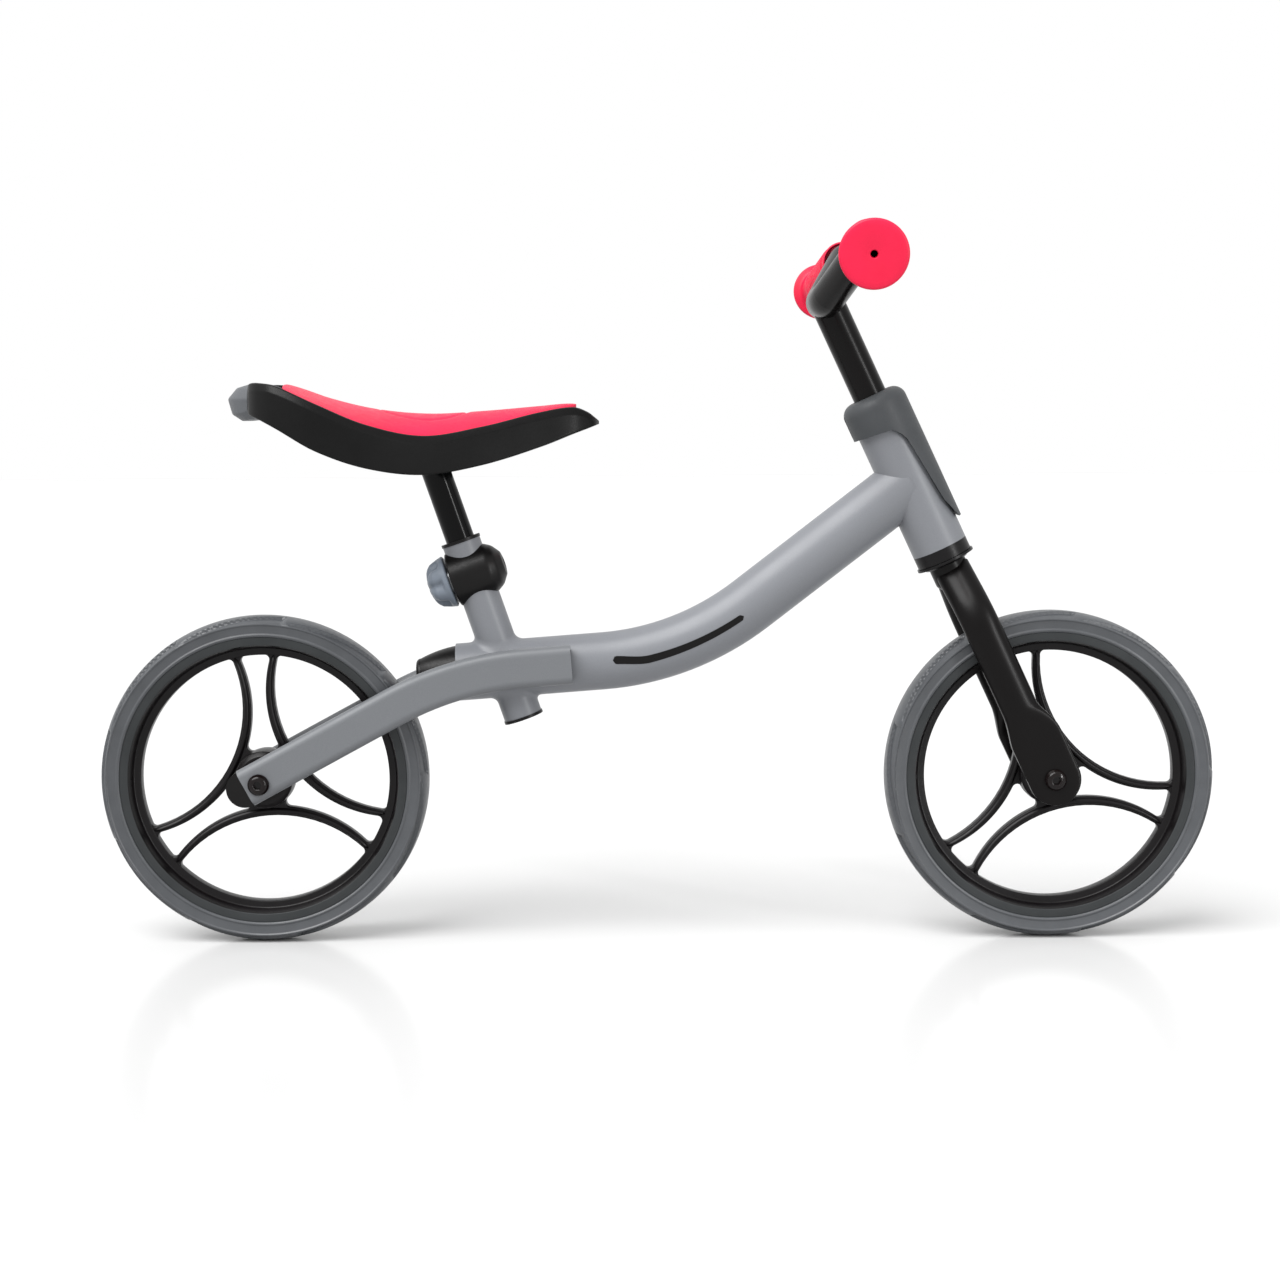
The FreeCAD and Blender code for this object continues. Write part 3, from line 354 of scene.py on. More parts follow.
def add_piece(name, shape, body, materials, replaces=(), sharp=35.0):
    """Named object from a shape in metres, riding on a CAD body."""
    mesh = build_mesh(name, shape, sharp)
    piece = new_object(name, mesh)
    for material in materials:
        mesh.materials.append(material)
    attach(piece, body)
    if replaces:
        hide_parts(*replaces)
    return piece


def cut_away(piece, shape):
    """Takes a closed shape out of a piece."""
    cutter = new_object("cutter", build_mesh("cutter", shape))
    boolean = piece.modifiers.new("cut", "BOOLEAN")
    boolean.operation = "DIFFERENCE"
    boolean.object = cutter
    boolean.solver = "EXACT"
    evaluated = piece.evaluated_get(bpy.context.evaluated_depsgraph_get())
    mesh = bpy.data.meshes.new_from_object(evaluated)
    piece.modifiers.clear()
    piece.data = mesh
    bpy.data.objects.remove(cutter)


def paint_faces(piece, index, chosen):
    """Gives the faces whose centre (in metres) is chosen another of the piece's materials."""
    for polygon in piece.data.polygons:
        if chosen(polygon.center):
            polygon.material_index = index


# -------------------- materials

def srgb(red, green, blue):
    """Linear colour from 0-255 display values."""
    def linear(value):
        value /= 255
        return value / 12.92 if value <= 0.04045 else ((value + 0.055) / 1.055) ** 2.4
    return (linear(red), linear(green), linear(blue), 1.0)


class Surface:
    """Node material in the making: a principled shader fed by procedural textures."""

    def __init__(self, name, **settings):
        self.material = bpy.data.materials.new(name)
        self.material.use_nodes = True
        self.tree = self.material.node_tree
        self.shader = self.tree.nodes["Principled BSDF"]
        self.place = self.tree.nodes.new("ShaderNodeTexCoord").outputs["Object"]
        self.normal = None
        for socket, value in settings.items():
            self.shader.inputs[socket.replace("_", " ")].default_value = value

    def link(self, source, target):
        self.tree.links.new(source, target)

    def noise(self, scale, detail=2.0, stretch=(1, 1, 1)):
        """Noise texture with this many features per metre; stretch squeezes it along an axis."""
        mapping = self.tree.nodes.new("ShaderNodeMapping")
        mapping.inputs["Scale"].default_value = stretch
        texture = self.tree.nodes.new("ShaderNodeTexNoise")
        texture.inputs["Scale"].default_value = scale
        texture.inputs["Detail"].default_value = detail
        self.link(self.place, mapping.inputs["Vector"])
        self.link(mapping.outputs["Vector"], texture.inputs["Vector"])
        return texture.outputs["Fac"]

    def cells(self, scale):
        """Distance to the nearest border in a cell pattern, for grained skins."""
        texture = self.tree.nodes.new("ShaderNodeTexVoronoi")
        texture.feature = "DISTANCE_TO_EDGE"
        texture.inputs["Scale"].default_value = scale
        self.link(self.place, texture.inputs["Vector"])
        return texture.outputs["Distance"]

    def ranged(self, source, low, high, from_low=0.3, from_high=0.7):
        node = self.tree.nodes.new("ShaderNodeMapRange")
        node.inputs["From Min"].default_value = from_low
        node.inputs["From Max"].default_value = from_high
        node.inputs["To Min"].default_value = low
        node.inputs["To Max"].default_value = high
        self.link(source, node.inputs["Value"])
        return node.outputs["Result"]

    def colour(self, source, first, second):
        """Base colour that a texture mixes from two."""
        mix = self.tree.nodes.new("ShaderNodeMix")
        mix.data_type = "RGBA"
        mix.inputs["A"].default_value = first
        mix.inputs["B"].default_value = second
        self.link(self.ranged(source, 0.0, 1.0), mix.inputs["Factor"])
        self.link(mix.outputs["Result"], self.shader.inputs["Base Color"])

    def roughness(self, source, low, high):
        self.link(self.ranged(source, low, high), self.shader.inputs["Roughness"])

    def bump(self, source, height, strength=0.5):
        """Relief of this height in millimetres, on top of any relief added before."""
        node = self.tree.nodes.new("ShaderNodeBump")
        node.inputs["Strength"].default_value = strength
        node.inputs["Distance"].default_value = height * MM
        self.link(source, node.inputs["Height"])
        if self.normal:
            self.link(self.normal, node.inputs["Normal"])
        self.normal = node.outputs["Normal"]
        self.link(self.normal, self.shader.inputs["Normal"])


def paint(name, first, second, gloss, specular=0.3):
    """Sprayed paint: faint mottling, orange peel and fine grain."""
    surface = Surface(name, Specular_IOR_Level=specular)
    surface.colour(surface.noise(2600, 3.0), srgb(*first), srgb(*second))
    surface.roughness(surface.noise(45, 4.0), gloss - 0.03, gloss + 0.05)
    surface.bump(surface.noise(420, 2.0), 0.02, 0.35)
    surface.bump(surface.noise(4200, 1.0), 0.006, 0.3)
    return surface.material


def moulded(name, first, second, gloss, grain=0.03, grain_scale=1500, specular=0.18):
    """Moulded plastic: fine eroded grain and slow colour drift."""
    surface = Surface(name, Specular_IOR_Level=specular)
    surface.colour(surface.noise(38, 5.0), srgb(*first), srgb(*second))
    surface.roughness(surface.noise(grain_scale / 2, 3.0), gloss - 0.05, gloss + 0.07)
    surface.bump(surface.noise(grain_scale, 2.0), grain, 0.4)
    return surface.material


def metal(name, first, second, gloss, stretch=(1, 1, 1)):
    """Bare steel with fine drawn or ground lines."""
    surface = Surface(name, Metallic=1.0)
    surface.colour(surface.noise(90, 4.0, stretch), srgb(*first), srgb(*second))
    surface.roughness(surface.noise(700, 3.0, stretch), gloss - 0.06, gloss + 0.08)
    surface.bump(surface.noise(1600, 2.0, stretch), 0.008, 0.4)
    return surface.material


def foam_rubber(name, first, second):
    """Closed-cell tyre foam: dull, with tiny pores."""
    surface = Surface(name, Specular_IOR_Level=0.45)
    surface.colour(surface.noise(60, 6.0), srgb(*first), srgb(*second))
    surface.roughness(surface.noise(300, 3.0), 0.34, 0.44)
    surface.bump(surface.noise(1900, 3.0), 0.05, 0.3)
    return surface.material


def soft_skin(name, first, second, scale):
    """Soft red skin with a fine pebbled grain."""
    surface = Surface(name, Specular_IOR_Level=0.25)
    surface.colour(surface.noise(30, 4.0), srgb(*first), srgb(*second))
    surface.roughness(surface.noise(200, 3.0), 0.42, 0.52)
    surface.bump(surface.cells(scale), 0.12, 0.35)
    surface.bump(surface.noise(scale * 2.5, 2.0), 0.02, 0.3)
    return surface.material


FRAME_PAINT = paint("frame_paint", (101, 103, 107), (108, 110, 114), 0.36)
# Stays: the frame's grey paint made a little darker, as painted shade for their place low on the frame, and a
# little rougher
STAY_SHADED_PAINT = paint("stay_paint", (90, 92, 95), (97, 99, 102), 0.42)
FORK_PAINT = paint("fork_paint", (5, 4, 4), (9, 7, 7), 0.3, 0.13)
STEM_PAINT = paint("stem_paint", (5, 4, 4), (9, 7, 7), 0.24, 0.13)
POST_PAINT = paint("post_paint", (3, 3, 3), (5, 5, 6), 0.13, 0.12)
DECAL_FILM = paint("decal_film", (7, 6, 6), (11, 10, 10), 0.3, 0.15)
BLACK_PLASTIC = moulded("black_plastic", (6, 5, 5), (11, 10, 10), 0.36)
CUP_PLASTIC = moulded("cup_plastic", (8, 7, 8), (13, 12, 13), 0.32)
COVER_PLASTIC = moulded("cover_plastic", (54, 56, 58), (61, 63, 65), 0.46)
GREY_PLASTIC = moulded("grey_plastic", (77, 79, 82), (84, 86, 89), 0.5, 0.05)
SHELL_PLASTIC = moulded("shell_plastic", (8, 8, 8), (13, 13, 13), 0.34, 0.05, 2200, 0.12)
KNOB_PLASTIC = moulded("knob_plastic", (96, 103, 112), (104, 111, 120), 0.36)
RIM_PLASTIC = moulded("rim_plastic", (8, 6, 7), (13, 11, 12), 0.32)
FLANGE_PLASTIC = moulded("flange_plastic", (38, 40, 41), (45, 47, 48), 0.42)
TYRE_FOAM = foam_rubber("tyre_foam", (57, 59, 62), (64, 66, 69))
PAD_SKIN = soft_skin("pad_skin", (184, 12, 52), (194, 18, 60), 700)
GRIP_RUBBER = soft_skin("grip_rubber", (188, 12, 50), (198, 18, 58), 1100)
SCREW_BLACK = paint("screw_black", (10, 6, 6), (15, 9, 9), 0.12, 0.22)
ZINC = metal("zinc", (130, 132, 134), (146, 147, 149), 0.32)
BEARING_STEEL = metal("bearing_steel", (140, 140, 142), (152, 152, 154), 0.18, (1, 8, 1))


# -------------------- wheels

def tread_depth(turn, width):
    """Depth of the wave-shaped recesses on the tread's shoulders at a point of the tyre."""
    offset = 0.5 if width > 0 else 0.0
    share = (turn * TREAD_WAVES / (2 * math.pi) + offset) % 1.0
    body = smooth_step(0.0, 0.05, share) * (1 - smooth_step(0.93, 0.98, share))
    low = 14.6 - 10.0 * share
    band = smooth_step(low - 0.4, low + 0.4, abs(width)) * (1 - smooth_step(14.7, 15.1, abs(width)))
    return TREAD_DEPTH * body * band


def tyre_outline():
    """(width, radius) outline: shoulder ridges, crowned tread, and the seat in the rim."""
    half = TYRE_HALF_WIDTH
    side = [(8.8, BEAD_R - 4, 0.5), (11.0, BEAD_R - 0.6, 0.4), (half - 1.5, BEAD_R + 0.2, 0.4),
            (half - 0.9, BEAD_R + 1.4, 0.5), (half - 1.5, BEAD_R + 2.6, 0.6),
            (half - 0.6, TYRE_SHOULDER_R - 1.4, 0.5), (half + 0.1, TYRE_SHOULDER_R - 0.6, 0.35),
            (half, TYRE_SHOULDER_R, 0)]
    other = [(-width, radius, corner) for width, radius, corner in reversed(side)]
    outline = rounded_outline(other + side, 3)
    rise = WHEEL_R - TYRE_SHOULDER_R
    steps = 60
    for step in range(1, steps):
        width = half - 2 * half * step / steps
        share = abs(width) / half
        outline.append(Vector((width, TYRE_SHOULDER_R + rise * (1 - share ** 2.4) ** 0.75)))
    return outline


def tyre(end):
    segments = 600
    outline = tyre_outline()
    points = []
    for step in range(segments):
        turn = 2 * math.pi * step / segments
        for width, radius in outline:
            depth = tread_depth(turn, width) if radius > TYRE_SHOULDER_R else 0.0
            inner = radius - depth
            squeezed = width - math.copysign(0.35 * depth, width)
            points.append(Vector((inner * math.cos(turn), inner * math.sin(turn), squeezed)))
    shape = points, grid_faces(segments, len(outline), True, True)
    add_piece(end + "_tyre_foam", placed(shape, axle_frame(end)), end + "_wheel", [TYRE_FOAM],
              [end + "_tyre"], 40.0)


def rim_channel():
    """Rim section turned about the axle: lips, flanges, barrel and web ring."""
    half = RIM_HALF_WIDTH
    side = [(half + 0.3, BEAD_R + 0.1, 0.5), (half - 0.1, BEAD_R - 5.4, 0.6), (half - 2.4, BEAD_R - 6.2, 0.8),
            (WEB_HALF_THICKNESS + 1.0, 86.8, 1.6), (WEB_HALF_THICKNESS + 0.4, WEB_R, 0.8)]
    other = [(-width, radius, round_) for width, radius, round_ in reversed(side)]
    well = [(2.4 - half, BEAD_R + 0.1, 0), (4.6 - half, BEAD_R - 4.2, 0),
            (half - 4.6, BEAD_R - 4.2, 0), (half - 2.4, BEAD_R + 0.1, 0)]
    return lathe(rounded_outline(side + other + well, 4), 192)


def circles_meet(first, first_radius, second, second_radius, side):
    """Point where two circles meet, to one side of the line from the first's centre to the second's."""
    line = second - first
    distance = line.length
    along = (distance ** 2 + first_radius ** 2 - second_radius ** 2) / (2 * distance)
    height = math.sqrt(first_radius ** 2 - along ** 2)
    return first + line * (along / distance) + Vector((-line.y, line.x)) * (side * height / distance)


def opening_outline(edges):
    """Closed outline of an opening bounded by circles, its corners rounded.

    Each edge is (centre, radius, side, corner): side 1 where the opening lies
    inside the circle and -1 outside, corner picks where the next circle meets it.
    """
    fillets = []
    for index, (centre, radius, side, corner) in enumerate(edges):
        next_centre, next_radius, next_side, _ = edges[(index + 1) % len(edges)]
        fillets.append(circles_meet(centre, radius - side * SPOKE_FILLET,
                                    next_centre, next_radius - next_side * SPOKE_FILLET, corner))
    outline = []
    for index, (centre, radius, side, _) in enumerate(edges):
        touching = [centre + (fillets[k] - centre).normalized() * radius for k in (index - 1, index)]
        outline.extend(short_arc(centre, radius, touching[0], touching[1], 22))
        next_centre, next_radius, _, _ = edges[(index + 1) % len(edges)]
        following = next_centre + (fillets[index] - next_centre).normalized() * next_radius
        outline.extend(short_arc(fillets[index], SPOKE_FILLET, touching[1], following, 6)[1:-1])
    return outline


def polar(distance, degrees):
    angle = math.radians(degrees)
    return Vector((distance * math.cos(angle), distance * math.sin(angle)))


def wheel_openings(angle):
    """The three wide openings behind the spokes' arcs and the three narrow ones between them."""
    origin = Vector((0, 0))
    openings = []
    for step in range(3):
        direction = angle + 120 * step
        arc_centre = polar(SPOKE_INNER[0], direction)
        openings.append(opening_outline([(arc_centre, SPOKE_INNER[1], 1, 1), (origin, WEB_R, 1, 1)]))
        ahead = polar(SPOKE_OUTER[0], direction)
        behind = polar(SPOKE_OUTER[0], direction + 120)
        openings.append(opening_outline([
            (origin, WEB_R, 1, -1), (behind, SPOKE_OUTER[1], -1, 1),
            (origin, HUB_R, -1, 1), (ahead, SPOKE_OUTER[1], -1, -1)]))
    return openings


def add_spline(curve, outline):
    spline = curve.splines.new("POLY")
    spline.points.add(len(outline) - 1)
    for point, place in zip(spline.points, outline):
        point.co = (place[0] * MM, place[1] * MM, 0, 1)
    spline.use_cyclic_u = True


def web_plate(angle):
    """Flat plate of the web ring, spokes and hub, with rounded edges, in metres."""
    edge = 1.3
    curve = bpy.data.curves.new("web", "CURVE")
    curve.dimensions = "2D"
    curve.fill_mode = "BOTH"
    curve.extrude = (WEB_HALF_THICKNESS - edge) * MM
    curve.bevel_depth = edge * MM
    curve.bevel_resolution = 3
    curve.offset = -edge * MM
    add_spline(curve, arc((0, 0), WEB_R + 4.0, 0, 2 * math.pi * 179 / 180, 179))
    add_spline(curve, arc((0, 0), BEARING_R + 1.0, 0, 2 * math.pi * 59 / 60, 59))
    for outline in wheel_openings(angle):
        add_spline(curve, outline)
    holder = new_object("web", curve)
    evaluated = holder.evaluated_get(bpy.context.evaluated_depsgraph_get())
    mesh = bpy.data.meshes.new_from_object(evaluated)
    points = [vertex.co / MM for vertex in mesh.vertices]
    faces = [tuple(polygon.vertices) for polygon in mesh.polygons]
    bpy.data.objects.remove(holder)
    bpy.data.meshes.remove(mesh)
    return points, faces


def spoke_rib(direction):
    """Rounded rib along a spoke, with tips that run out on the web ring."""
    distance = (SPOKE_OUTER[0] + SPOKE_INNER[0]) / 2
    radius = (SPOKE_OUTER[1] + SPOKE_INNER[1]) / 2
    centre = polar(distance, direction)
    reach = WEB_R + 2.4
    cosine = (distance ** 2 + radius ** 2 - reach ** 2) / (2 * distance * radius)
    half_turn = math.acos(cosine)
    middle = math.radians(direction + 180)
    line = arc(centre, radius, middle - half_turn, middle + half_turn, 60)
    path = [Vector((p.x, p.y, 0)) for p in line]
    sections = []
    for index in range(len(path)):
        tip = min(index, len(path) - 1 - index) / 3
        size = math.sqrt(1 - (1 - min(tip, 1.0)) ** 2) if tip < 1 else 1.0
        size = max(size, 0.02)
        root = 1.0 + 0.25 * math.sin(math.pi * index / (len(path) - 1))
        sections.append([(RIB_HALF_THICKNESS * math.cos(a) * size, RIB_HALF_WIDTH * root * math.sin(a) * size)
                         for a in (2 * math.pi * k / 20 for k in range(20))])
    return sweep(path, sections, Z_AXIS)


def wheel_hub():
    half = HUB_HALF_LENGTH
    return lathe(rounded_outline([
        (half, BEARING_R + 0.1, 0.4), (half, HUB_R - 3.5, 0.8), (half - 3.0, HUB_R - 0.6, 1.4),
        (WEB_HALF_THICKNESS, HUB_R, 0.6), (-WEB_HALF_THICKNESS, HUB_R, 0.6), (3.0 - half, HUB_R - 0.6, 1.4),
        (-half, HUB_R - 3.5, 0.8), (-half, BEARING_R + 0.1, 0.4)], 4), 96)


def rim(end):
    # In the wheel frame X is forwards but Y points down, so angles change sign
    angle = -SPOKE_ANGLES[end]
    parts = [rim_channel(), web_plate(angle), wheel_hub()]
    parts.extend(spoke_rib(angle + 120 * step) for step in range(3))
    piece = add_piece(end + "_rim_moulding", placed(joined(parts), axle_frame(end)), end + "_wheel",
                      [RIM_PLASTIC, FLANGE_PLASTIC], [end + "_rim"], 38.0)
    axle = AXLES[end]
    flange = (BEAD_R - 5.6) * MM
    face = (RIM_HALF_WIDTH - 1.2) * MM
    paint_faces(piece, 1, lambda p: math.hypot(p.x - axle.x, p.z - axle.z) > flange and abs(p.y) > face)


def domed_button():
    """Button head on an axle's end, from its bearing face outwards."""
    outline = rounded_outline([(0, 0, 0), (0, AXLE_HEAD_R, 0.3), (1.5, AXLE_HEAD_R, 0.7),
                               (3.9, AXLE_HEAD_R - 1.5, 2.2), (AXLE_HEAD_HEIGHT, AXLE_HEAD_R - 3.4, 1.0),
                               (AXLE_HEAD_HEIGHT, 0, 0)], 6)
    return lathe(outline, 64)


def hex_prism():
    angles = [math.pi / 3 * k for k in range(6)]
    heights = (AXLE_HEAD_HEIGHT - 3.0, AXLE_HEAD_HEIGHT + 1.0)
    return loft([[Vector((HEX_R * math.cos(a), HEX_R * math.sin(a), z)) for a in angles] for z in heights])


def axle_ends(end, body):
    """Bolt head with a socket on the rider's right, domed nut on the left."""
    for side, node in ((-1, "bolt"), (1, "nut")):
        place = axle_frame(end, side)
        place.translation += place.to_3x3() @ Vector((0, 0, AXLE_SUPPORT_Y * MM))
        parts = [domed_button()]
        if node == "bolt":
            shank = rounded_outline([(0, 0, 0), (0, 4.0, 0), (-2 * AXLE_SUPPORT_Y - 3.0, 4.0, 0.6),
                                     (-2 * AXLE_SUPPORT_Y - 3.0, 0, 0)])
            parts.append(lathe(shank, 48))
        piece = add_piece(f"{end}_axle_{node}_head", placed(joined(parts), place), body,
                          [SCREW_BLACK], [f"{end}_axle_{node}"])
        if node == "bolt":
            cut_away(piece, placed(hex_prism(), place))


# -------------------- fork legs

def oval(half_depth, half_width, squareness):
    """Superellipse: round at squareness 2, a box with rounded corners above."""
    points = []
    steps = 48
    for step in range(steps):
        turn = 2 * math.pi * step / steps
        across = math.copysign(abs(math.cos(turn)) ** (2 / squareness), math.cos(turn))
        up = math.copysign(abs(math.sin(turn)) ** (2 / squareness), math.sin(turn))
        points.append((half_depth * across, half_width * up))
    return points


def fork_leg():
    """Left leg in the steering frame: an oval tube pressed flat for the axle, rounded off below it."""
    axle = (STEERING.inverted() @ AXLES["front"]) / MM
    path = divided(rounded_path(LEG_CORNERS, LEG_BEND_R, 3.0), 4.0)
    sections = [oval(LEG_HALF_DEPTH, LEG_HALF_WIDTH, LEG_SQUARENESS)] * len(path)
    foot = LEG_CORNERS[-1]
    tab = Vector((axle.x, TAB_Y, TAB_TOP))
    for step in range(1, FLARE_STEPS + 1):
        share = step / FLARE_STEPS
        ease = smooth_step(0, 1, share)
        path.append(Vector((foot.x + (tab.x - foot.x) * ease, foot.y + (tab.y - foot.y) * ease,
                            foot.z + (tab.z - foot.z) * share)))
        depth = LEG_HALF_DEPTH + (TAB_R - LEG_HALF_DEPTH) * ease
        width = LEG_HALF_WIDTH + (TAB_HALF_THICKNESS - LEG_HALF_WIDTH) * ease
        sections.append(oval(depth, width, LEG_SQUARENESS + (TAB_SQUARENESS - LEG_SQUARENESS) * ease))
    for step in range(1, TOE_STEPS + 1):
        turn = math.pi / 2 * step / TOE_STEPS
        path.append(Vector((axle.x, TAB_Y, axle.z - TAB_R * math.sin(turn))))
        sections.append(oval(TAB_R * max(math.cos(turn), TOE_LEAST), TAB_HALF_THICKNESS, TAB_SQUARENESS))
    return sweep(path, sections, X_AXIS)


def box_shape(low, high):
    """Box between two opposite corners."""
    corners = [Vector((x, y, z)) for z in (low.z, high.z) for x, y in
               ((low.x, low.y), (high.x, low.y), (high.x, high.y), (low.x, high.y))]
    return loft([corners[:4], corners[4:]])


def fork_legs():
    """Both legs, cut off at the bike's middle plane and at the neck's top."""
    far = 60.0
    beyond = box_shape(Vector((-far, -far, -far)), Vector((far, LEG_GAP, far)))
    above = box_shape(Vector((-far, -far, NECK_TOP)), Vector((far, far, far)))
    for side, shape in (("left", fork_leg()), ("right", mirrored(fork_leg()))):
        leg = add_piece("fork_leg_look_" + side, placed(shape, STEERING), "fork", [FORK_PAINT],
                        ["fork_leg_" + side], LEG_SHARP)
        for block in (beyond, above):
            cut_away(leg, placed(block if side == "left" else mirrored(block), STEERING))
        leg.data.shade_smooth()
        leg.data.set_sharp_from_angle(angle=math.radians(LEG_SHARP))


# -------------------- grips

def grip_outline():
    """(distance from the inner end, radius) of a grip, cupped at its inner end."""
    end = GRIP_LENGTH
    corners = [(GRIP_CUP_DEPTH, GRIP_CUP_R, 0.8), (0, GRIP_CUP_R, 0.5), (0, GRIP_R, 0.8)]
    for rib in range(GRIP_RIBS):
        low = FIRST_RIB + RIB_PITCH * rib
        corners.extend([(low, GRIP_R - 0.7, 0.5), (low + 0.24 * RIB_PITCH, GRIP_R - 0.7, 0.5),
                        (low + 0.4 * RIB_PITCH, GRIP_R + 0.4, 0.6),
                        (low + 0.84 * RIB_PITCH, GRIP_R + 0.4, 0.6)])
    corners.extend([(end - 14.0, GRIP_R, 1.0), (end - 5.0, GRIP_R + 0.4, 3.0),
                    (end - 3.8, GRIP_FLANGE_R - 0.6, 1.0), (end - 0.2, GRIP_FLANGE_R, 1.7),
                    (end, GRIP_FLANGE_R - 4.0, 3.0), (end, 2.4, 0.5),
                    (end - 3.0, 2.0, 0), (end - 4.2, 2.0, 0), (end - 4.2, BAR_R + 0.2, 0),
                    (GRIP_CUP_DEPTH, BAR_R + 0.2, 0)])
    return rounded_outline(corners, 4)


def grips():
    for side, node in ((1, "grip_left"), (-1, "grip_right")):
        shoulder = Vector((BAR_SHOULDER.x, BAR_SHOULDER.y * side, BAR_SHOULDER.z))
        end = Vector((BAR_END.x, BAR_END.y * side, BAR_END.z))
        outward = (end - shoulder).normalized()
        start = end - outward * (GRIP_LENGTH - GRIP_FLANGE)
        shape = placed(lathe(grip_outline(), 96), axis_frame(start * MM, outward))
        add_piece(node + "_rubber", shape, "handlebar", [GRIP_RUBBER], [node], 50.0)


# -------------------- knob and clamp

def knob_radius(height, turn):
    """Radius of the lobed knob: a round flange, then six lobes with flutes between them."""
    index = next(k for k in range(1, len(KNOB_PROFILE)) if KNOB_PROFILE[k][0] >= height - 1e-9)
    (low, low_radius), (high, high_radius) = KNOB_PROFILE[index - 1:index + 1]
    radius = low_radius + (high_radius - low_radius) * (height - low) / (high - low)
    flute = 0.5 - 0.5 * math.cos(KNOB_LOBES * turn)
    return radius - KNOB_FLUTE * smooth_step(KNOB_BASE + 2.6, KNOB_BASE + 4.6, height) * flute ** 2


def seat_knob():
    steps = 40
    segments = 120
    rings = []
    for step in range(steps + 1):
        height = KNOB_BASE + (KNOB_FACE - KNOB_BASE) * step / steps
        ring = []
        for segment in range(segments):
            turn = 2 * math.pi * segment / segments
            radius = knob_radius(height, turn)
            ring.append(Vector((radius * math.cos(turn), radius * math.sin(turn), height)))
        rings.append(ring)
    for shrink, rise in KNOB_FACE_STEPS:
        rings.append([Vector((p.x * shrink, p.y * shrink, KNOB_FACE + rise)) for p in rings[steps]])
    edge = [Vector((p.x * 0.97, p.y * 0.97, p.z - 0.4)) for p in rings[0]]
    add_piece("seat_knob_moulding", placed(loft([edge] + rings), KNOB_FRAME), "knob", [KNOB_PLASTIC],
              ["seat_knob"], 50.0)


def clamp_barrel():
    """Barrel through the seat tube: rounded rear rim, flattened dome in front with an oval dent."""
    outline = rounded_outline([(13.5, 6.6, 0), (13.5, 18.1, 1.4), (0, 17.6, 30.0), (-12.6, 16.5, 7.0),
                               (-17.6, 13.4, 8.0), (-21.7, 7.8, 2.5), (-22.4, 3.8, 1.2), (-21.7, 2.6, 0.5),
                               (-21.7, 0, 0), (-9, 0, 0), (-9, 6.6, 0)], 6)
    add_piece("seat_clamp_barrel", placed(lathe(outline, 96), KNOB_FRAME), "frame", [BLACK_PLASTIC],
              ["seat_clamp_body"], 50.0)


# -------------------- saddle

# Sections from nose to tail: place along the bike, half-width at the skirt, and heights of
# the skirt's lower edge, the pad's edge and the pad's crown
SADDLE = [
    (-36.3, 3.0, 339.6, 341.6, 342.0),
    (-38.5, 9.0, 338.6, 343.5, 344.6),
    (-44.0, 14.2, 336.4, 347.6, 349.0),
    (-53.0, 19.5, 333.0, 350.6, 352.4),
    (-75.0, 27.0, 324.5, 347.2, 351.0),
    (-110.0, 38.0, 313.8, 338.6, 348.2),
    (-147.0, 49.0, 308.0, 333.0, 346.6),
    (-182.0, 59.0, 312.4, 340.2, 350.0),
    (-213.0, 64.0, 323.4, 353.4, 357.4),
    (-238.0, 60.0, 337.6, 364.6, 365.8),
    (-250.0, 52.0, 343.6, 366.8, 367.5),
    (-257.5, 43.0, 346.8, 366.4, 367.0),
    (-259.6, 36.0, 349.5, 364.0, 364.5),
]
PAD_INSET = 5.0
PAD_REACH = (-51.0, -239.0)
CREASE_X = -151.0
CREASE_HALF_LENGTH = 29.0
CREASE_HALF_WIDTH = 23.8
CREASE_DEPTH = 0.9
CREASE_WIDTH = 1.1
PAD_NOSE_R = 22
PAD_TAIL_R = 26
TAIL_HALF_WIDTH = 35.0
TAIL_SWEEP_R = 55.0
TAIL_ROOT = (-254.0, 356.0)


def along_saddle(x):
    """Section values anywhere along the saddle, by a smooth curve through the stations."""
    last = len(SADDLE) - 1
    index = max(k for k in range(last) if SADDLE[k][0] >= x or k == 0)
    values = []
    for column in range(1, 5):
        rows = [SADDLE[min(max(index + k, 0), last)] for k in (-1, 0, 1, 2)]
        slopes = []
        for before, after in ((rows[0], rows[2]), (rows[1], rows[3])):
            span = after[0] - before[0]
            slopes.append((after[column] - before[column]) / span if span else 0.0)
        width = rows[2][0] - rows[1][0]
        t = (x - rows[1][0]) / width
        values.append((1 + 2 * t) * (1 - t) ** 2 * rows[1][column] + t * (1 - t) ** 2 * width * slopes[0]
                      + t * t * (3 - 2 * t) * rows[2][column] + t * t * (t - 1) * width * slopes[1])
    return values


def eased_places(first, last, steps):
    """Places from first to last, closer together towards both ends."""
    return [first + (last - first) * (0.5 - 0.5 * math.cos(math.pi * k / steps)) for k in range(steps + 1)]


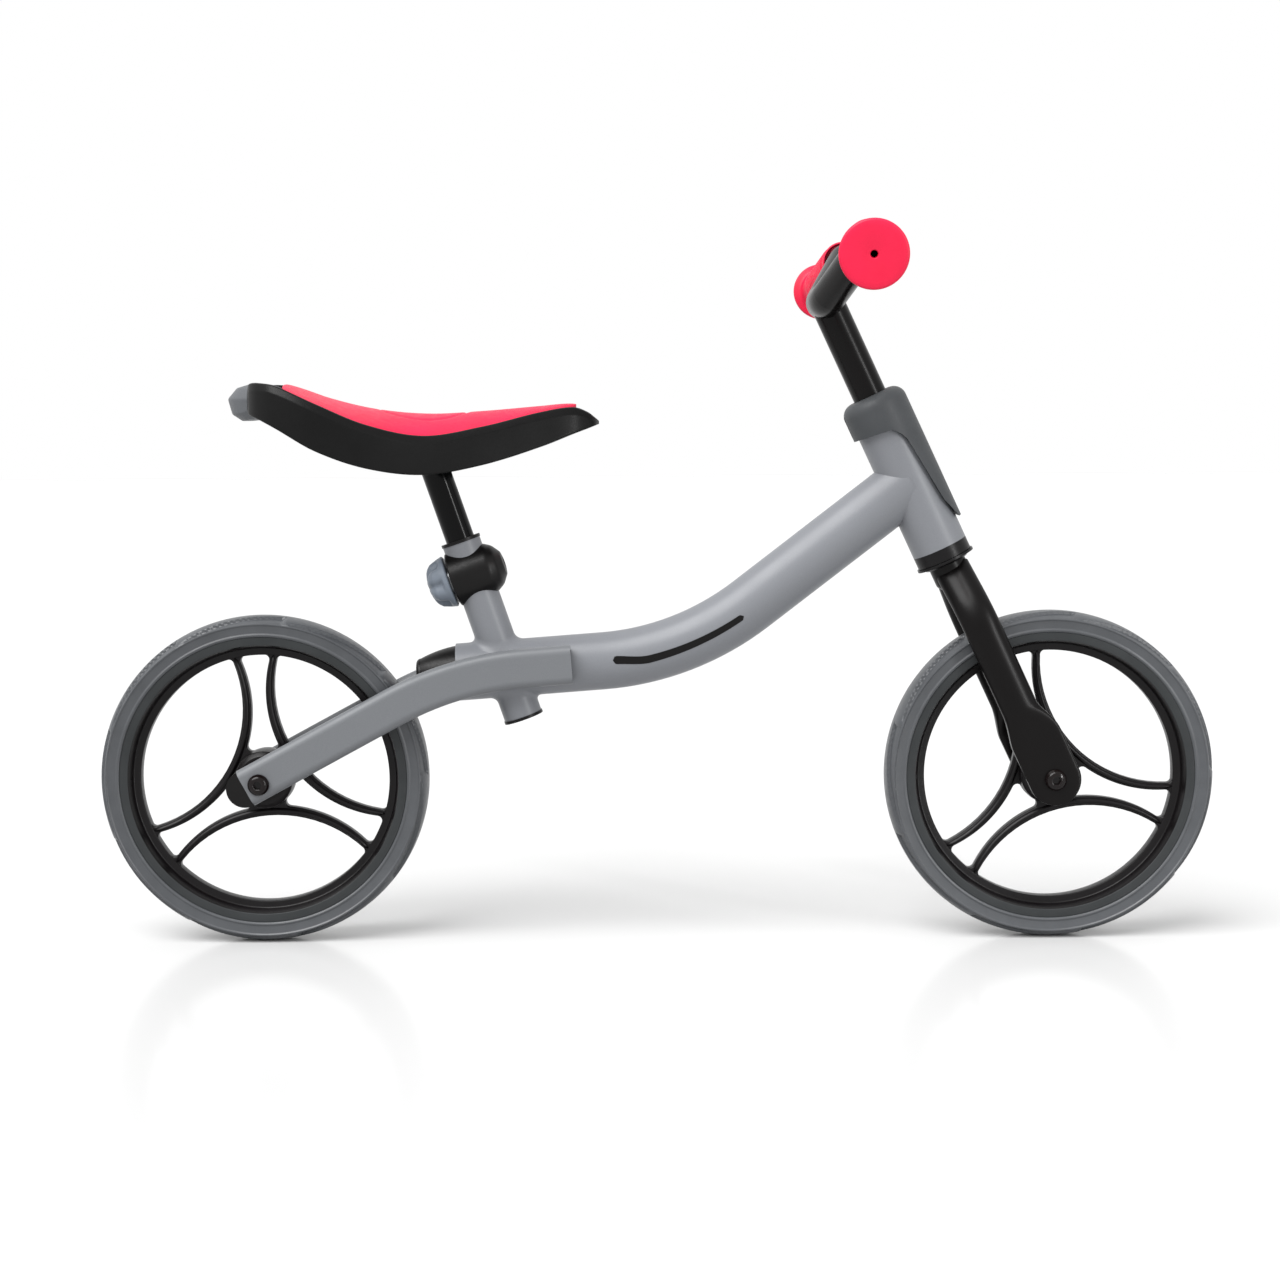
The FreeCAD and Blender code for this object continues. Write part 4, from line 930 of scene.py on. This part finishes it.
def shell_ring(x):
    """Closed outline across the saddle shell: skirt with a lip, shoulder, deck under the pad."""
    half, bottom, edge, crown = along_saddle(x)
    size = min(1.0, half / 19.5)
    wall = 3.0 * size
    pad_half = half - PAD_INSET * size
    right = [(half - wall, bottom + 0.6 * size, 0.5 * size), (half + 0.3 * size, bottom, 0.9 * size),
             (half + 0.1 * size, bottom + 3.0 * size, 1.2 * size),
             (half - 0.4 * size, edge - 5.0 * size, 3.5 * size),
             (half - 2.6 * size, edge - 0.6 * size, 1.6 * size),
             (pad_half + 0.8 * size, edge + 0.2 * size, 0.6 * size),
             (pad_half - 0.6 * size, edge - 2.4 * size, 0)]
    height = edge - 2.4 * size + (crown - edge) * 0.6 - 1.0
    deck = [(0.4 * pad_half, height, 0), (-0.4 * pad_half, height, 0)]
    under = [(y, height - 3.0 * size, 0) for y, _, _ in reversed(deck)]
    left = [(-y, z, r) for y, z, r in reversed(right)]
    inside = half - wall - 0.4 * size
    ceiling = edge - 8.0 * size
    corners = (right + deck + left + [(-inside, ceiling, 2.0 * size)]
               + under + [(inside, ceiling, 2.0 * size)])
    return [Vector((x, y, z)) for y, z in rounded_outline(corners, 3)]


def saddle_shell():
    shape = loft([shell_ring(x) for x in eased_places(SADDLE[0][0], SADDLE[-1][0], 90)])
    add_piece("saddle_shell_moulding", in_metres(shape), "saddle", [SHELL_PLASTIC],
              ["saddle_shell"], 50.0)


def crease(x, y):
    """Depth of the oval line pressed into the middle of the pad."""
    along = (x - CREASE_X) / CREASE_HALF_LENGTH
    across = y / CREASE_HALF_WIDTH
    size = math.hypot(along, across)
    gap = (size - 1) * min(CREASE_HALF_LENGTH, CREASE_HALF_WIDTH)
    return CREASE_DEPTH * math.exp(-(gap / CREASE_WIDTH) ** 2)


def pad_ring(x):
    """Closed outline across the pad: crowned top, rounded edges, and an underside that follows it."""
    half, _, edge, crown = along_saddle(x)
    front, rear = PAD_REACH
    nose = math.sqrt(max(0.0, 1 - max(0.0, (x - front + PAD_NOSE_R) / PAD_NOSE_R) ** 2))
    tail = math.sqrt(max(0.0, 1 - max(0.0, (rear + PAD_TAIL_R - x) / PAD_TAIL_R) ** 2))
    pad_half = (half - PAD_INSET) * max(0.04, min(nose, 1)) * (0.35 + 0.65 * max(0.0, tail))
    points = []
    count = 84
    for index in range(count + 1):
        fraction = 1 - 2 * index / count
        spread = math.sin(fraction * math.pi / 2)
        y = spread * pad_half
        rise = (crown - edge) * (1 - spread * spread)
        round_off = 1.6 * (1 - math.sqrt(max(0.0, 1 - abs(spread) ** 8)))
        points.append(Vector((x, y, edge + rise + 0.5 - round_off - crease(x, y))))
    for index in range(count - 1):
        fraction = -1 + 2 * (index + 1) / count
        spread = math.sin(fraction * math.pi / 2)
        y = spread * (pad_half - 0.5)
        drop = 2.0 + 2.5 * (1 - spread * spread)
        points.append(Vector((x, y, edge + (crown - edge) * (1 - spread * spread) - drop)))
    return points


def saddle_pad():
    shape = loft([pad_ring(x) for x in eased_places(*PAD_REACH, 220)])
    pad = add_piece("saddle_pad_skin", in_metres(shape), "saddle", [PAD_SKIN],
                    ["saddle_pad"], 50.0)


def tail_grip():
    """Rounded handle moulded on to the saddle's tail, thinner towards its ends."""
    outline = [(-256.0, 344.2, 1.0), (-267.9, 342.9, 2.6), (-274.5, 347.3, 2.6), (-277.2, 357.2, 2.6),
               (-271.2, 364.2, 2.6), (-260.0, 367.6, 2.6), (-256.0, 366.8, 0.8)]
    count = 36
    root_x, root_z = TAIL_ROOT
    rings = []
    for index in range(count + 1):
        y = TAIL_HALF_WIDTH * math.sin(math.pi / 2 * (2 * index / count - 1))
        setback = TAIL_SWEEP_R - math.sqrt(TAIL_SWEEP_R ** 2 - y * y)
        size = max(0.05, math.sqrt(max(0.0, 1 - (abs(y) / TAIL_HALF_WIDTH) ** 6)))
        rings.append([Vector((root_x + (x - root_x) * size + setback, y, root_z + (z - root_z) * size))
                      for x, z in rounded_outline(outline, 4)])
    add_piece("tail_grip_moulding", in_metres(loft(rings)), "saddle", [GREY_PLASTIC],
              ["tail_grip"], 50.0)


# -------------------- frame details

def main_tube_path():
    rear_x = -131.0
    rear = Vector((rear_x, 0, TUBE_CORNER.z + math.tan(REAR_RUN_ANGLE) * (rear_x - TUBE_CORNER.x)))
    front = TUBE_CORNER + Vector((math.cos(FRONT_RUN_ANGLE), 0, math.sin(FRONT_RUN_ANGLE))) * 190
    return divided(rounded_path([rear, TUBE_CORNER, front], TUBE_BEND_R), 4.0)


def distance_to_path(point, path):
    best = 1e9
    for start, end in zip(path, path[1:]):
        along = end - start
        share = min(1.0, max(0.0, (point - start).dot(along) / along.length_squared))
        best = min(best, (point - start - along * share).length)
    return best


def meeting_height(origin, along, path, radius, low, high):
    """Distance along a line at which it crosses the tube around a path, between two bounds."""
    inside_low = distance_to_path(origin + along * low, path) < radius
    for _ in range(30):
        middle = (low + high) / 2
        if (distance_to_path(origin + along * middle, path) < radius) == inside_low:
            low = middle
        else:
            high = middle
    return (low + high) / 2


def joint_fillet(axis, radius, path, path_radius, low, high, size):
    """Concave ring where a round tube stands on the tube around a path."""
    origin = axis.translation / MM
    along = axis.to_3x3() @ Z_AXIS
    outwards = 1 if high > low else -1
    rings = []
    steps = 72
    for step in range(steps):
        turn = 2 * math.pi * step / steps
        spoke = axis.to_3x3() @ Vector((math.cos(turn), math.sin(turn), 0))
        ring = []
        foot = origin + spoke * (radius + size)
        foot = foot + along * meeting_height(foot, along, path, path_radius, low, high)
        wall = origin + spoke * radius
        height = meeting_height(wall, along, path, path_radius, low, high)
        corner = wall + along * height
        top = wall + along * (height + outwards * size)
        for index in range(9):
            t = index / 8
            curve = foot * (1 - t) ** 2 + corner * 2 * t * (1 - t) + top * t * t
            ring.append(curve + (curve - corner).normalized() * 0.15 if 0 < index < 8 else curve)
        ring.append(top - spoke * 0.8)
        ring.append(corner + (-spoke - along * outwards))
        ring.append(foot - along * outwards * 0.8)
        rings.append(ring)
    points = [point for ring in rings for point in ring]
    return points, grid_faces(steps, len(rings[0]), True, True)


def frame_welds():
    """Smoothed fillets where the seat tube passes through the main tube."""
    path = main_tube_path()
    upper = joint_fillet(SEATING, SEAT_TUBE_R, path, TUBE_R, 35.0, 85.0, 5.0)
    lower = joint_fillet(SEATING, SEAT_TUBE_R, path, TUBE_R, 35.0, -10.0, 4.0)
    shape = in_metres(joined([upper, lower]))
    add_piece("seat_tube_fillets", shape, "frame", [FRAME_PAINT], sharp=60.0)


def side_stripes():
    """Plain dark stripe on each side of the main tube's bend."""
    path = main_tube_path()
    centres = []
    for x in [STRIPE_START_X + STRIPE_STEP * k for k in range(STRIPE_STEPS + 1)]:
        index = next(k for k in range(1, len(path)) if path[k].x > x or k == len(path) - 1)
        start, end = path[index - 1], path[index]
        share = (x - start.x) / (end.x - start.x)
        centres.append((start.lerp(end, share), (end - start).normalized()))
    shapes = []
    for side in (-1, 1):
        rings = []
        for index, (centre, along) in enumerate(centres):
            up = Vector((-along.z, 0, along.x))
            share = index / (len(centres) - 1)
            half = 2.7 - 0.7 * share
            tip = min(index, len(centres) - 1 - index) * STRIPE_STEP
            half *= math.sqrt(1 - (1 - min(tip / half, 1.0)) ** 2) if tip < half else 1.0
            half = max(half, 0.05)
            middle = STRIPE_HEIGHT + STRIPE_LIFT * (1 - smooth_step(STRIPE_START_X, STRIPE_LEVEL_X, centre.x))
            row = []
            for radius in (TUBE_R + 0.12, TUBE_R - 0.3):
                heights = [middle + half * k / 4 for k in range(-4, 5)]
                if radius < TUBE_R:
                    heights.reverse()
                for height in heights:
                    width = math.sqrt(radius ** 2 - height ** 2)
                    row.append(centre + up * height + Y_AXIS * side * width)
            rings.append(row)
        shapes.append(loft(rings))
    add_piece("side_stripes", in_metres(joined(shapes)), "frame", [DECAL_FILM],
              sharp=40.0)


# -------------------- stage

def carried_over():
    """Procedural materials on the CAD nodes that stay as they are."""
    finishes = {
        FRAME_PAINT: ["main_tube", "head_tube", "seat_tube"],
        STAY_SHADED_PAINT: ["stay_left", "stay_right"],
        BLACK_PLASTIC: ["stay_plug_left", "stay_plug_right", "main_tube_end_cap", "seat_bush_upper",
                        "seat_bush_lower"],
        CUP_PLASTIC: ["lower_cup", "upper_cup", "crown_race"],
        COVER_PLASTIC: ["head_cover"],
        ZINC: ["clamp_bush", "knob_washer", "clamp_screw", "steerer", "rear_axle_spacers",
               "front_axle_spacers"],
        SCREW_BLACK: ["cover_screw", "stem_grub_screw", "saddle_screws"],
        FORK_PAINT: ["fork_neck", "stem_collar", "saddle_bracket"],
        STEM_PAINT: ["stem", "handlebar"],
        POST_PAINT: ["seat_post"],
        BEARING_STEEL: [f"{end}_{part}" for end in ("rear", "front")
                        for part in ("outer_races", "inner_races", "bearing_balls")],
    }
    for material, names in finishes.items():
        for name in names:
            node = frame["nodes"][name]
            node.data.materials.clear()
            node.data.materials.append(material)


def camera():
    pitch, yaw, roll = CAMERA_PITCH, CAMERA_YAW, CAMERA_ROLL
    forward = Vector((math.sin(yaw) * math.cos(pitch), math.cos(yaw) * math.cos(pitch), -math.sin(pitch)))
    right = Vector((math.cos(yaw), -math.sin(yaw), 0))
    up = right.cross(forward)
    turned_right = right * math.cos(roll) + up * math.sin(roll)
    turned_up = up * math.cos(roll) - right * math.sin(roll)
    matrix = Matrix((turned_right, turned_up, -forward)).transposed().to_4x4()
    matrix.translation = CAMERA_AT
    data = bpy.data.cameras.new("camera")
    data.lens = LENS
    data.sensor_width = 36.0
    data.clip_start = 0.01
    data.clip_end = 50.0
    viewer = new_object("camera", data)
    viewer.matrix_world = matrix
    bpy.context.scene.camera = viewer


def lights():
    """White surroundings, a wide soft key light from above on the bike's rear right, and the strip."""
    world = bpy.data.worlds.new("studio")
    world.use_nodes = True
    world.node_tree.nodes["Background"].inputs["Color"].default_value = (1, 1, 1, 1)
    world.node_tree.nodes["Background"].inputs["Strength"].default_value = 1.0
    bpy.context.scene.world = world
    bpy.context.scene.view_settings.view_transform = "Standard"
    data = bpy.data.lights.new("key", "SUN")
    data.energy = KEY_STRENGTH
    data.angle = KEY_ANGLE
    light = new_object("key", data)
    light.rotation_euler = KEY_FROM.to_track_quat("Z", "Y").to_euler()
    strip_light()


def strip_light():
    """Tall narrow light beside the camera, for the bright lines along the round glossy parts."""
    data = bpy.data.lights.new("strip", "AREA")
    data.shape = "RECTANGLE"
    data.size, data.size_y = STRIP_SIZE
    data.energy = STRIP_POWER
    light = new_object("strip", data)
    light.location = STRIP_AT
    light.rotation_euler = Vector((STRIP_AT.x, STRIP_AT.y, 0)).to_track_quat("Z", "Y").to_euler()


def floor():
    mesh = bpy.data.meshes.new("floor")
    far = FLOOR_REACH
    mesh.from_pydata([(-far, -far, 0), (far, -far, 0), (far, far, 0), (-far, far, 0)], [], [(0, 1, 2, 3)])
    surface = Surface("floor", Specular_IOR_Level=0.1)
    surface.colour(surface.noise(3.0, 3.0), srgb(*FLOOR_GREY), srgb(*FLOOR_GREY))
    surface.roughness(surface.noise(8.0, 3.0), 0.16, 0.17)
    mesh.materials.append(surface.material)
    plane = new_object("floor", mesh)


camera()
lights()
floor()
carried_over()
for wheel_end, axle_body in (("rear", "frame"), ("front", "fork")):
    tyre(wheel_end)
    rim(wheel_end)
    axle_ends(wheel_end, axle_body)
fork_legs()
grips()
seat_knob()
clamp_barrel()
saddle_shell()
saddle_pad()
tail_grip()
frame_welds()
side_stripes()
